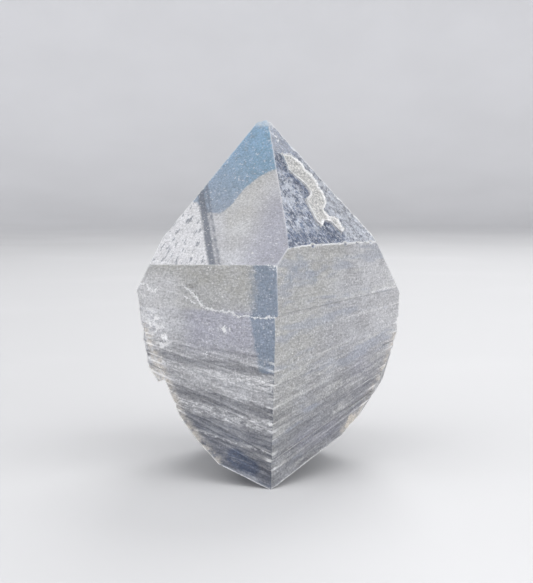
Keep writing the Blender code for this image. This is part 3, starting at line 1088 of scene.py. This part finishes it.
def front_left_marks(marks):
    """The front left face: its growth bands, with painted shade in the sunk ones and a painted highlight
    on the raised ones, the blue band and the painted shade beside the front edge, the greyer zone above
    the sunk plate, and the cracks, the first of them the step of the sunk plate painted white as a
    highlight."""
    here, across, up = marks.face("front_left")
    edge, level = marks.edge[here], marks.level[here]
    front_edge = marks.beside(here, "front_right")
    border = np.interp(-up, BLUE_BAND_DROP, BLUE_BAND_LEFT)
    blue = np.minimum(across - border, BLUE_BAND_FOOT + up) / (1.0 + 2.5 * ramp("blue_under_crack", up))
    shaded = (front_edge > 0.0) & (up < FRONT_EDGE_SHADE)
    lit_step_and_crack = np.full(len(up), FAR)
    corner = ramp("grey_corner", up + 0.35 * across + 1.6)
    for line, width in FRONT_LEFT_LINES:
        lit_step_and_crack = np.minimum(lit_step_and_crack, line_distance(across, up, line) / width)
    marks.put(
        here,
        blue=blue,
        olive=ramp("grey_over_crack", up) * (0.7 + 0.3 * corner),
        stripe=np.where(shaded, 0.35 - edge, -FAR),
        lined=0.1 + 0.5 * ramp("left_lined", level),
        lit_step_and_crack=lit_step_and_crack,
        speckled_highlight=band_strength(marks.places[here], level, BRIGHT_BANDS),
    )
    # Painted shade: in the sunk bands, under the step of the sunk plate and beside the low front edge.
    under_crack = 0.35 * ramp("dark_under_crack", up) * ramp("dark_in_blue", blue)
    strip = 0.5 * ramp("edge_strip", edge) * front_edge * ramp("edge_strip_low", up)
    bands = band_strength(marks.places[here], level, DARK_BANDS)
    marks.lift(here, deep=np.maximum.reduce((bands, under_crack, strip)))


def front_right_marks(marks):
    """The front right face: greyer to the left and milky to the right, with soft blue patches, a
    lilac one, a bright line at its top and a dark ridge near its foot."""
    here, across, up = marks.face("front_right")
    outer = 0.8 * ramp("outer_milk", marks.edge[here]) * marks.beside(here, *OUTER_RIGHT)
    marks.put(
        here,
        front_right=1.0,
        lit_step_and_crack=line_distance(across, up, FRONT_RIGHT_LINE) / FRONT_RIGHT_LINE_WIDTH,
        lined=0.3 + 0.2 * ramp("right_lined", marks.level[here]),
        stripe=0.12 - line_distance(across, up, LOW_RIDGE_LINE),
        olive=0.8 * ramp("right_grey", across - 0.4 * up),
        milk=np.maximum(0.5 * ramp("right_milk", across + 0.3 * up), outer),
    )
    for line in FRONT_RIGHT_PATCHES:
        marks.lift(here, blue=-0.35 + 0.4 * ramp("right_patches", line_distance(across, up, line)))
    patch = np.hypot(across - LILAC_PATCH[0], up - LILAC_PATCH[1])
    marks.lift(here, lilac=ramp("lilac_patch", patch))


def edge_marks(marks):
    """Stained broken edges, and fresh scars: where the net leans away from its face's plane, and
    at the apex. The end of the sunk plate that runs out into its face has none."""
    everywhere = slice(None)
    prism = on_faces(marks.own, *PRISM)
    stained = marks.beside(everywhere, *STAINED_BY)
    marks.lift(everywhere, beige=ramp("stained_edge", marks.edge) * stained * prism)

    chipped = ramp("leaning", 1.0 - marks.lean)
    near_edge = ramp("scarred_edge", marks.edge) * 0.85 + 0.15
    scar = chipped * np.where(prism > 0.0, near_edge, 1.0)
    here, across, up = marks.face("front_left")
    run_out = ramp("scar_run_out_start", across) * ramp("scar_run_out_end", across)
    scar[here] *= 1.0 - run_out * ramp("scar_run_out_up", up)
    low_edge = low_front_edge(marks.places, marks.own, marks.beyond)
    marks.put(
        everywhere,
        edge=np.minimum(marks.edge, FAR),
        edge_light=edge_lights(marks.own, marks.beyond) * (1.0 - low_edge),
        broken=on_faces(marks.own, *BROKEN),
        scar=np.maximum(scar, 0.7 * ramp("apex", marks.places[:, 2])),
        growth_level=marks.level,
    )
    marks.values["growth_level"][here] += BAND_TURN * across


def finish_marks(places, own, lean):
    """The marks at the corners of the net's triangles. Lines and borders are given as distances
    (mm), so that the finish can draw them finely, and the rest as shares from 0 to 1."""
    marks = Marks(places, own, lean)
    for fill in (
        prism_marks, hidden_tip_marks, tip_left_marks, tip_right_marks, front_left_marks,
        front_right_marks, edge_marks, soft_marks,
    ):
        fill(marks)
    return marks.values


# ---------------------------------------------------------------------------------------------
# Meshes


def put_mesh(name, points, triangles, marks=None):
    """A new mesh object at the origin, with each mark as an attribute of its triangles' corners."""
    mesh = bpy.data.meshes.new(name)
    mesh.vertices.add(len(points))
    mesh.vertices.foreach_set("co", points.astype(np.float32).ravel())
    mesh.loops.add(triangles.size)
    mesh.loops.foreach_set("vertex_index", triangles.astype(np.int32).ravel())
    mesh.polygons.add(len(triangles))
    mesh.polygons.foreach_set("loop_start", np.arange(0, triangles.size, 3, dtype=np.int32))
    mesh.update(calc_edges=True)
    if mesh.validate():
        raise ValueError(f"the mesh of {name} has faults")
    for mark, values in (marks or {}).items():
        layer = mesh.attributes.new(mark, "FLOAT", "CORNER")
        layer.data.foreach_set("value", values.astype(np.float32))
    mesh.shade_smooth()
    piece = bpy.data.objects.new(name, mesh)
    bpy.context.scene.collection.objects.link(piece)
    return piece


def crystal_skin(settings):
    """The finished crystal: the fine net, moved along its normals by the relief and outward where
    ledges are filled, and kept within the solid's box."""
    places, triangles = crystal_net(settings)
    flat = triangle_normals(places, triangles)
    own = nearest_face(places[triangles].mean(axis=1), flat)
    planes, _ = face_planes()
    lean = (flat * planes[own]).sum(axis=1)
    marks = finish_marks(places[triangles].reshape(-1, 3), np.repeat(own, 3), np.repeat(lean, 3))

    normals = point_normals(places, triangles)
    own = nearest_face(places, normals)
    places = places + normals * relief(places, own, settings)[:, None] + ledge_fill(places, own)
    points = (places @ standing_axes().T + np.array(CENTRE_MM)) * MM
    low, high = (np.array(corner) for corner in SOLID_BOX)
    piece = put_mesh("crystal_skin", np.clip(points, low, high), triangles, marks)
    piece.data.set_sharp_from_angle(angle=math.radians(settings.crease_degrees))
    return piece


def turned_profile(radii, heights, sectors):
    """Points and triangles of a profile turned about Z, closed at its first point in the middle."""
    angle = np.linspace(0.0, math.tau, sectors, endpoint=False)
    ring = np.stack((np.cos(angle), np.sin(angle)), axis=1)
    rings = np.concatenate(
        (radii[:, None, None] * ring, np.broadcast_to(heights[:, None, None], (len(radii), sectors, 1))),
        axis=2,
    )
    index = np.arange(len(radii) * sectors).reshape(len(radii), sectors)
    following = np.roll(index, -1, axis=1)
    a, b, c, d = index[:-1], index[1:], following[1:], following[:-1]
    quads = np.stack((a, b, c, a, c, d), axis=-1).reshape(-1, 3)
    middle = index.size
    fan = np.stack((np.full(sectors, middle), index[0], following[0]), axis=1)
    points = np.vstack((rings.reshape(-1, 3), (0.0, 0.0, heights[0])))
    return points, np.vstack((fan, quads))


# ---------------------------------------------------------------------------------------------
# Materials


def srgb(red, green, blue):
    """A linear colour from screen values of 0 to 255."""
    values = np.array((red, green, blue)) / 255.0
    linear = np.where(values <= 0.04045, values / 12.92, ((values + 0.055) / 1.055) ** 2.4)
    return tuple(float(value) for value in linear)


class Nodes:
    """Short calls that add nodes to a tree and join their sockets."""

    def __init__(self, tree):
        self.tree = tree

    def add(self, kind, **settings):
        """A node with its settings."""
        node = self.tree.nodes.new(kind)
        for name, value in settings.items():
            setattr(node, name, value)
        return node

    def put(self, socket, value):
        """Sets a socket, or links it when the value is another node's socket."""
        if isinstance(value, bpy.types.NodeSocket):
            self.tree.links.new(value, socket)
        elif value is not None:
            socket.default_value = value

    def fill(self, node, *values):
        """Sets a node's sockets in their order and gives its first output."""
        for socket, value in zip(node.inputs, values):
            self.put(socket, value)
        return node.outputs[0]

    def math(self, operation, first, second=None, third=None, clamp=False):
        """A sum, product or other operation on values."""
        node = self.add("ShaderNodeMath", operation=operation, use_clamp=clamp)
        return self.fill(node, first, second, third)

    def vector(self, operation, first, second=None, scale=None):
        """A sum, product or scaling of vectors, or the length or dot product, which are values."""
        node = self.add("ShaderNodeVectorMath", operation=operation)
        self.fill(node, first, second)
        if scale is not None:
            self.put(node.inputs["Scale"], scale)
        return node.outputs["Value" if operation in {"LENGTH", "DOT_PRODUCT"} else "Vector"]

    def ramp(self, value, low, high):
        """0 below low, 1 above high and smooth between."""
        node = self.add("ShaderNodeMapRange", interpolation_type="SMOOTHSTEP", clamp=True)
        return self.fill(node, value, low, high, 0.0, 1.0)

    def stretch(self, value, from_low, from_high, to_low, to_high):
        """A value moved in a straight line from one range to another."""
        node = self.add("ShaderNodeMapRange", clamp=True)
        return self.fill(node, value, from_low, from_high, to_low, to_high)

    def mix(self, share, first, second):
        """One colour laid over another by a share."""
        node = self.add("ShaderNodeMix", data_type="RGBA", clamp_factor=True)
        for socket, value in ((node.inputs[0], share), (node.inputs[6], first), (node.inputs[7], second)):
            self.put(socket, value)
        return node.outputs[2]

    def noise(self, place, scale, detail, rough):
        """Noise from about 0 to 1 at each place."""
        node = self.add("ShaderNodeTexNoise")
        for name, value in (("Vector", place), ("Scale", scale), ("Detail", detail), ("Roughness", rough)):
            self.put(node.inputs[name], value)
        return node.outputs["Fac"]

    def parts(self, vector):
        """The three parts of a vector."""
        node = self.add("ShaderNodeSeparateXYZ")
        self.put(node.inputs[0], vector)
        return node.outputs

    def object_place(self):
        """Object coordinates (m)."""
        return self.add("ShaderNodeTexCoord").outputs["Object"]

    def attribute(self, name):
        """A mark of the mesh, by name."""
        return self.add("ShaderNodeAttribute", attribute_name=name).outputs["Fac"]

    def placed(self, group, **values):
        """A node group placed in the tree, with its inputs set."""
        node = self.add("ShaderNodeGroup", node_tree=group)
        for name, value in values.items():
            self.put(node.inputs[name], value)
        return node.outputs


def new_group(name, inputs, outputs):
    """An empty node group with sockets of the kinds given and outputs that are values."""
    group = bpy.data.node_groups.new(name, "ShaderNodeTree")
    for socket, kind in inputs.items():
        group.interface.new_socket(socket, in_out="INPUT", socket_type=kind)
    for socket in outputs:
        group.interface.new_socket(socket, in_out="OUTPUT", socket_type="NodeSocketFloat")
    source = group.nodes.new("NodeGroupInput").outputs
    sink = group.nodes.new("NodeGroupOutput").inputs
    return group, Nodes(group), source, sink


def growth_streak_group():
    """Lines that follow the growth levels: noise drawn out along each level, at four widths."""
    kinds = {"Place": "NodeSocketVector", "Level": "NodeSocketFloat"}
    group, nodes, source, sink = new_group("growth_streaks", kinds, STREAKS)
    right, back, _ = nodes.parts(source["Place"])
    for name, (along, across, detail) in STREAKS.items():
        steps = ((right, along), (back, along), (source["Level"], across))
        products = [nodes.math("MULTIPLY", value, scale) for value, scale in steps]
        drawn_out = nodes.fill(nodes.add("ShaderNodeCombineXYZ"), *products)
        nodes.put(sink[name], nodes.noise(drawn_out, 1.0, detail, STREAK_ROUGHNESS))
    return group


def frost_group():
    """Frosting at four sizes, from 0 to 1, and small separate sparkles."""
    group, nodes, source, sink = new_group("frost", {"Place": "NodeSocketVector"}, (*FROST, "Sparkle"))
    for name, texture in FROST.items():
        nodes.put(sink[name], nodes.noise(source["Place"], *texture))
    nodes.put(sink["Sparkle"], nodes.ramp(nodes.noise(source["Place"], *SPARKLE), *SPARKLE_PEAKS))
    return group


class Finish(Nodes):
    """The quartz's nodes, with its places, marks, textures, masks and tints at hand, and the
    colour laid so far. Every mask is a value and every tint a colour, found by name."""

    def __init__(self, tree, look):
        super().__init__(tree)
        self.look = look
        self.place = self.vector("SCALE", self.object_place(), scale=1.0 / MM)
        self.masks = {name: self.attribute(name) for name in MARKS}
        streak = self.placed(growth_streak_group(), Place=self.place, Level=self.masks["growth_level"])
        frost = self.placed(frost_group(), Place=self.place)
        self.textures = {"streak": streak, "frost": frost}
        for name, (source, texture, *ends) in MASKS.items():
            self.masks[name] = self.ramp(self.textures[source][texture], *ends)
        for name, (source, texture, *ends) in SHADES.items():
            self.masks[name] = self.stretch(self.textures[source][texture], *ends)
        for name, (mark, texture, depth, *ends) in BORDERS.items():
            self.masks[name] = self.ramp(self.ragged(mark, frost[texture], depth), *ends)
        self.tints = {name: (*getattr(look, name), 1.0) for name in TINTS}
        self.colour = self.tints["satin"]

    def times(self, *values):
        """The product of several values."""
        product = values[0]
        for value in values[1:]:
            product = self.math("MULTIPLY", product, value)
        return product

    def ragged(self, mark, texture, depth):
        """A distance whose border is made uneven by a texture."""
        return self.math("MULTIPLY_ADD", self.math("SUBTRACT", texture, 0.5), depth, self.masks[mark])

    def drawn_out(self, way, share):
        """Places pulled together along a direction, so that a texture is drawn out along it."""
        along = self.vector("DOT_PRODUCT", self.place, way)
        pull = self.vector("SCALE", way, scale=self.math("MULTIPLY", along, -share))
        return self.vector("ADD", self.place, pull)

    def peaks(self, name, place):
        """Peaks of a noise of the table, from 0 to 1."""
        *texture, low, high = PEAKS[name]
        return self.ramp(self.noise(place, *texture), low, high)

    def lay(self, share, tint):
        """Lays a tint over the colour."""
        self.colour = self.mix(share, self.colour, tint)

    def lay_all(self, layers):
        """Lays each layer of a table in turn."""
        for tint, strength, *names in layers:
            factors = [self.masks[name] for name in names]
            if strength != 1.0:
                factors.append(strength)
            self.lay(self.times(*factors), self.tints[tint])


def add_zone_masks(finish):
    """The darkest painted shade, where the painted shade is faint, what lies off the prism and off the
    blue, and the pits of the milky corner."""
    tints, masks = finish.tints, finish.masks
    tints["deepest"] = finish.mix(finish.ramp(masks["deep"], 0.9, 1.4), tints["deep"], tints["navy"])
    masks["out_of_painted_shade"] = finish.stretch(masks["deep"], 0.25, 1.0, 1.0, 0.12)
    masks["off_prism"] = finish.math("SUBTRACT", 1.0, masks["prism"])
    masks["dashes"] = finish.peaks("dashes", finish.drawn_out(TIP_RISE, 0.65))
    masks["off_blue"] = finish.math("SUBTRACT", 1.0, finish.times(masks["in_blue"], 0.75))


def add_blue(finish):
    """The blue of the zones: deeper towards the tip, mottled, and strongest beside its ridge."""
    tints, masks = finish.tints, finish.masks
    height = finish.ramp(finish.parts(finish.place)[2], *BLUE_HEIGHTS_MM)
    blue = finish.mix(height, tints["blue_low"], tints["blue_tip"])
    blue = finish.mix(finish.times(masks["teal"], masks["wide_patches"], 0.8), blue, tints["teal"])
    tints["zone_blue"] = finish.mix(masks["dark_mottle"], blue, tints["blue_deep"])


def add_flecks(finish):
    """Clusters of fine white specks on the prism, and the frosted left edge."""
    masks = finish.masks
    flecks = finish.times(masks["fleck_grains"], masks["fleck_clusters"], masks["prism"])
    flecks = finish.times(flecks, masks["out_of_painted_shade"], 0.6)
    frosted = finish.times(masks["frosted_patches"], masks["frosted"])
    masks["flecks"] = finish.math("MAXIMUM", flecks, frosted)


def add_etched_ground(finish):
    """The etched face: dark ground, white clouds and fine white grains."""
    tints, masks = finish.tints, finish.masks
    streaky = finish.drawn_out(TIP_EDGE, 0.6)
    ground = finish.mix(finish.peaks("etched_light", streaky), tints["navy"], tints["etched"])
    ground = finish.mix(finish.times(masks["olive"], 0.6), ground, tints["satin"])
    dark_specks = finish.times(finish.peaks("etched_dark", streaky), 0.9)
    ground = finish.mix(dark_specks, ground, tints["night"])
    grains = finish.peaks("etched_grains", streaky)
    clouds = finish.times(finish.peaks("etched_clouds", finish.place), masks["clouds"])
    clouds = finish.math("MAXIMUM", clouds, finish.times(masks["milk"], 0.85))
    clouds = finish.times(clouds, finish.stretch(grains, 0.0, 1.0, 0.55, 1.0))
    clouds = finish.math("MAXIMUM", clouds, finish.times(grains, 0.6))
    tints["etched_ground"] = finish.mix(clouds, ground, tints["cloud"])
    masks["grains"] = grains


def add_crust(finish):
    """The cream crust, with a bright ragged rim."""
    tints, masks = finish.tints, finish.masks
    island = finish.ragged("island", finish.textures["frost"]["Grain"], CRUST_RAGGED)
    island = finish.math("SUBTRACT", island, CRUST_INSET)
    off_rim = finish.math("ABSOLUTE", finish.math("SUBTRACT", island, RIM_MIDDLE))
    masks["in_crust"] = finish.ramp(island, *CRUST_BORDER)
    masks["crust_rim"] = finish.ramp(off_rim, *RIM_WIDTH)
    tints["crust_ground"] = finish.mix(masks["crust_grains"], tints["crust"], tints["crust_light"])


def lay_grain(finish):
    """The overall grain, which lightens and darkens the colour, and white sparkles."""
    frost, masks = finish.textures["frost"], finish.masks
    grain = finish.look.grain
    scale = finish.stretch(frost["Grain"], 0.25, 0.75, 1.0 - grain, 1.0 + grain)
    finish.colour = finish.vector("SCALE", finish.colour, scale=scale)
    finish.lay(finish.times(frost["Sparkle"], masks["out_of_painted_shade"], 0.7), finish.tints["white"])


def lay_chips(finish):
    """Fresh chips: a thin ragged line along the edges, wider bites here and there, the beaded
    cracks and lit steps, whose white is a painted highlight on the steps, and scars."""
    masks = finish.masks
    line = finish.times(masks["edge_line"], masks["line_gaps"])
    line = finish.math("MAXIMUM", line, finish.times(masks["edge_bites"], 0.8))
    line = finish.times(line, masks["edge_light"])
    beads = finish.noise(finish.place, *BEADS)
    lit_step_and_crack = finish.ramp(finish.ragged("lit_step_and_crack", beads, STEP_AND_CRACK_RAGGED), *STEP_AND_CRACK_WIDTH)
    scars = finish.times(masks["scar"], masks["chip_gaps"])
    masks["chips"] = finish.math("MAXIMUM", scars, finish.math("MAXIMUM", line, lit_step_and_crack))
    finish.lay(masks["chips"], finish.tints["scar"])


def surface_normal(finish):
    """Fine bumps of the frosting, the growth lines and the etched grains."""
    masks = finish.masks
    streak, frost = finish.textures["streak"], finish.textures["frost"]
    height = finish.math("MULTIPLY_ADD", streak["Fine"], masks["prism"], frost["Grain"])
    etched = finish.times(masks["grains"], masks["etched"])
    height = finish.math("MULTIPLY_ADD", etched, 0.8, height)
    bump = finish.add("ShaderNodeBump")
    bump.inputs["Strength"].default_value = 1.0
    bump.inputs["Distance"].default_value = BUMP_MM * MM
    finish.put(bump.inputs["Height"], height)
    return bump.outputs[0]


def quartz_material(look):
    """Satin quartz: part of the light passes through and is tinted blue, part is scattered by the
    frosted surface, whose colour follows the zones, the growth levels and the fresh chips."""
    material = bpy.data.materials.new("satin_blue_quartz")
    material.use_nodes = True
    tree = material.node_tree
    finish = Finish(tree, look)
    for add in (add_zone_masks, add_blue, add_flecks, add_etched_ground, add_crust):
        add(finish)
    for layers in (GROUND_LAYERS, LINE_LAYERS, TOP_LAYERS):
        finish.lay_all(layers)
    lay_grain(finish)
    lay_chips(finish)

    shader = tree.nodes["Principled BSDF"]
    rough = finish.math("MULTIPLY_ADD", finish.masks["chips"], 0.15, finish.masks["roughness"])
    finish.put(shader.inputs["Base Color"], finish.colour)
    finish.put(shader.inputs["Roughness"], rough)
    finish.put(shader.inputs["Normal"], surface_normal(finish))
    shader.inputs["Transmission Weight"].default_value = look.clearness
    shader.inputs["IOR"].default_value = QUARTZ_IOR

    absorb = finish.add("ShaderNodeVolumeAbsorption")
    absorb.inputs["Color"].default_value = (*look.body_tint, 1.0)
    absorb.inputs["Density"].default_value = look.body_density
    finish.put(tree.nodes["Material Output"].inputs["Volume"], absorb.outputs[0])
    return material


def floor_material(look):
    """Plain pale floor, matt, with a faint mottle."""
    material = bpy.data.materials.new("pale_floor")
    material.use_nodes = True
    nodes = Nodes(material.node_tree)
    shader = material.node_tree.nodes["Principled BSDF"]
    place = nodes.object_place()
    mottle = nodes.stretch(nodes.noise(place, 12.0, 2.0, 0.5), 0.3, 0.7, -0.04, 0.04)
    away = nodes.math("ADD", nodes.ramp(nodes.vector("LENGTH", place), 0.5, 1.5), mottle, clamp=True)
    nodes.put(shader.inputs["Base Color"], nodes.mix(away, (*look.floor, 1.0), (*look.wall, 1.0)))
    shader.inputs["Roughness"].default_value = FLOOR_ROUGHNESS
    return material


# ---------------------------------------------------------------------------------------------
# Stage


def soft_light(name, place, target, size, power):
    """Makes a square soft light at a place, turned to a target (both in metres)."""
    data = bpy.data.lights.new(name, "AREA")
    data.shape = "SQUARE"
    data.size = size
    data.energy = power
    light = bpy.data.objects.new(name, data)
    light.location = place
    light.rotation_euler = (Vector(target) - Vector(place)).to_track_quat("-Z", "Y").to_euler()
    light.visible_camera = False
    bpy.context.scene.collection.objects.link(light)


def pale_bowl(stage):
    """A flat round floor whose rim rises in a quarter circle to a low wall all round."""
    turn = np.linspace(0.0, math.pi / 2.0, RIM_POINTS)
    flat = stage.floor_radius
    radii = np.concatenate((np.array(FLOOR_RINGS) * flat, flat + stage.bowl_curve * np.sin(turn)))
    heights = np.concatenate((np.zeros(len(FLOOR_RINGS)), stage.bowl_curve * (1.0 - np.cos(turn))))
    radii = np.append(radii, radii[-1])
    heights = np.append(heights, heights[-1] + stage.wall_height)
    return put_mesh("floor", *turned_profile(radii, heights, BOWL_SECTORS))


def pale_surroundings(stage, look):
    """A plain pale world, shown with its colours unchanged."""
    world = bpy.data.worlds.new("pale_studio")
    world.use_nodes = True
    background = world.node_tree.nodes["Background"]
    background.inputs["Color"].default_value = (*look.backdrop, 1.0)
    background.inputs["Strength"].default_value = stage.world_strength
    bpy.context.scene.world = world
    bpy.context.scene.view_settings.view_transform = "Standard"


def soft_lights(stage, centre):
    """The lights of the table, each turned to the crystal's centre."""
    for name, (turn, rise, distance, size, power) in SOFT_LIGHTS.items():
        turn, rise = math.radians(turn), math.radians(rise)
        level = math.cos(rise)
        way = np.array((level * math.sin(turn), -level * math.cos(turn), math.sin(rise)))
        soft_light(name, centre + distance * way, centre, size, power * stage.light_strength)


def front_camera(stage, centre):
    """A camera before the front edge that looks down a little at the crystal's centre."""
    tilt = math.radians(stage.camera_elevation)
    view = np.array((0.0, math.cos(tilt), -math.sin(tilt)))
    data = bpy.data.cameras.new("camera")
    data.lens = stage.lens
    data.sensor_fit = "AUTO"
    data.sensor_width = SENSOR_MM
    data.clip_start, data.clip_end = CAMERA_CLIP
    camera = bpy.data.objects.new("camera", data)
    camera.location = centre - view * stage.camera_distance
    camera.rotation_euler = Vector(view).to_track_quat("-Z", "Y").to_euler()
    bpy.context.scene.collection.objects.link(camera)
    bpy.context.scene.camera = camera


def make_stage(stage, look):
    """Floor, world, lights and camera."""
    floor = pale_bowl(stage)
    floor.data.materials.append(floor_material(look))
    centre = np.array(CENTRE_MM) * MM
    pale_surroundings(stage, look)
    soft_lights(stage, centre)
    front_camera(stage, centre)


# ---------------------------------------------------------------------------------------------
# Settings, operators and panel


def colour_property(name, description, *screen):
    """A colour whose default is given as screen values of 0 to 255."""
    return bpy.props.FloatVectorProperty(
        name=name, description=description, subtype="COLOR", size=3, min=0.0, max=1.0, default=srgb(*screen)
    )


def amount_property(name, description, default, **limits):
    """A number that is not below 0, with its unit or its greatest value where it has one."""
    return bpy.props.FloatProperty(name=name, description=description, default=default, min=0.0, **limits)


class CrystalShape(bpy.types.PropertyGroup):
    """Sizes of the crystal's net and of its relief."""

    pitch_mm: amount_property("Net pitch (mm)", "Distance between points on tip and broken faces", 0.3)
    level_pitch_mm: amount_property("Level pitch (mm)", "Growth levels between rows of points", 0.18)
    cross_pitch_mm: amount_property("Cross pitch (mm)", "Distance between points along a level", 0.38)
    swell_mm: amount_property("Swells (mm)", "Depth of the gentle swells of grown faces", 0.06)
    step_mm: amount_property("Growth steps (mm)", "Depth of the growth steps on the prism", 0.09)
    band_mm: amount_property("Growth bands (mm)", "Depth of the front left face's bands", 0.08)
    etch_mm: amount_property("Etching (mm)", "Depth of the pits in the etched tip face", 0.13)
    break_mm: amount_property("Broken ground (mm)", "Depth of the broken surfaces' hollows", 0.45)
    wear_mm: amount_property("Edge wear (mm)", "Depth of the worn edges", 0.12)
    crease_degrees: amount_property("Crease angle", "Edges sharper than this stay sharp (degrees)", 28.0)


class CrystalLook(bpy.types.PropertyGroup):
    """Colours of the crystal and its stage, and how clear the quartz is."""

    satin: colour_property("Satin", "Frosted surface", 168, 167, 168)
    satin_light: colour_property("Light satin", "Paler frosting", 188, 188, 190)
    lilac: colour_property("Lilac", "Faint lilac zones", 168, 167, 179)
    olive: colour_property("Olive", "Greyer zones", 178, 176, 167)
    white: colour_property("White", "Milky patches and lines", 217, 216, 217)
    # Dark growth lines, and painted shade towards the foot and in the sunk bands.
    deep: colour_property("Deep", "Dark growth lines and the low end", 84, 85, 92)
    blue_tip: colour_property("Tip blue", "Blue zone at the tip", 120, 156, 186)
    blue_low: colour_property("Low blue", "Blue zones lower down", 124, 138, 156)
    blue_deep: colour_property("Deep blue", "Darker mottling of the blue zones", 104, 124, 142)
    stripe: colour_property("Stripe", "Dark stripes in the tip", 86, 92, 104)
    etched: colour_property("Etched", "Ground of the etched face", 108, 122, 148)
    cloud: colour_property("Cloud", "White clouds of the etched face", 224, 228, 236)
    teal: colour_property("Teal", "Strongest blue of the tip, beside its ridge", 92, 140, 168)
    warm: colour_property("Warm bands", "Soft light bands on the front right face", 206, 205, 200)
    band_blue: colour_property("Blue bands", "Soft blue bands on the front right face", 152, 158, 172)
    night: colour_property("Night", "Darkest specks of the etched face", 44, 54, 76)
    navy: colour_property("Navy", "Darker ground of the etched face", 56, 68, 92)
    crust: colour_property("Crust", "Cream crust", 166, 165, 163)
    crust_light: colour_property("Light crust", "Pale grains of the crust", 214, 212, 207)
    broken: colour_property("Broken", "Broken surfaces", 190, 188, 184)
    beige: colour_property("Beige", "Stained broken edges", 212, 203, 190)
    # The scar white also paints the highlight on lit steps and on the raised band steps.
    scar: colour_property("Scar", "Fresh chips on the edges", 248, 247, 246)
    body_tint: colour_property("Body tint", "Light left after passing through", 192, 206, 226)
    floor: colour_property("Floor", "Pale floor", 168, 168, 169)
    wall: colour_property("Wall", "Pale wall round the floor", 226, 226, 228)
    backdrop: colour_property("Backdrop", "Pale surroundings", 226, 227, 230)
    grain: amount_property("Grain", "Strength of the fine frosting", 0.55, max=1.0)
    clearness: amount_property("Clearness", "Share of light that passes into the quartz", 0.55, max=1.0)
    body_density: amount_property("Body density", "How strongly the quartz absorbs (per metre)", 40.0)


class CrystalStage(bpy.types.PropertyGroup):
    """Sizes of the stage and settings of the camera."""

    floor_radius: amount_property("Floor radius", "Radius of the flat floor", 0.9, unit="LENGTH")
    bowl_curve: amount_property("Rim curve", "Radius of the floor's rising rim", 0.6, unit="LENGTH")
    wall_height: amount_property("Wall height", "Height of the wall over the rim", 0.6, unit="LENGTH")
    world_strength: amount_property("Surroundings", "Strength of the pale surroundings", 1.05)
    light_strength: amount_property("Lights", "Strength of all soft lights", 1.0)
    lens: amount_property("Lens (mm)", "Focal length", 77.47)
    camera_distance: amount_property("Camera distance", "From the crystal's centre", 0.17, unit="LENGTH")
    camera_elevation: amount_property("Camera elevation", "How far the view looks down (degrees)", 5.0)


class CRYSTAL_OT_skin(bpy.types.Operator):
    """Make the finished crystal over its solid"""

    bl_idname = "crystal.skin"
    bl_label = "Finished crystal"

    def execute(self, context):
        piece = crystal_skin(context.scene.crystal_shape)
        piece.data.materials.append(quartz_material(context.scene.crystal_look))
        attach(piece, "root")
        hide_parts(CRYSTAL_NODE)
        return {"FINISHED"}


class CRYSTAL_OT_stage(bpy.types.Operator):
    """Make the floor, the soft lights and the camera"""

    bl_idname = "crystal.stage"
    bl_label = "Stage"

    def execute(self, context):
        make_stage(context.scene.crystal_stage, context.scene.crystal_look)
        return {"FINISHED"}


class CRYSTAL_PT_panel(bpy.types.Panel):
    """Lists the crystal's pieces and settings"""

    bl_label = "Quartz crystal"
    bl_idname = "CRYSTAL_PT_panel"
    bl_space_type = "VIEW_3D"
    bl_region_type = "UI"
    bl_category = "Crystal"

    def draw(self, context):
        """Each operator with its settings, then the colours."""
        layout = self.layout
        for operator, name in (("crystal.skin", "crystal_shape"), ("crystal.stage", "crystal_stage")):
            layout.operator(operator)
            self.draw_group(layout.box(), getattr(context.scene, name))
        self.draw_group(layout.box(), context.scene.crystal_look)

    def draw_group(self, box, group):
        """All settings of one group."""
        for name in group.__annotations__:
            box.prop(group, name)


CLASSES = (
    CrystalShape, CrystalLook, CrystalStage, CRYSTAL_OT_skin, CRYSTAL_OT_stage, CRYSTAL_PT_panel,
)


def register():
    for made in CLASSES:
        bpy.utils.register_class(made)
    bpy.types.Scene.crystal_shape = bpy.props.PointerProperty(type=CrystalShape)
    bpy.types.Scene.crystal_look = bpy.props.PointerProperty(type=CrystalLook)
    bpy.types.Scene.crystal_stage = bpy.props.PointerProperty(type=CrystalStage)


def unregister():
    for name in ("crystal_stage", "crystal_look", "crystal_shape"):
        delattr(bpy.types.Scene, name)
    for made in reversed(CLASSES):
        bpy.utils.unregister_class(made)


def main():
    """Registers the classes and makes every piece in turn."""
    register()
    bpy.ops.crystal.skin()
    bpy.ops.crystal.stage()


if __name__ == "__main__":
    main()
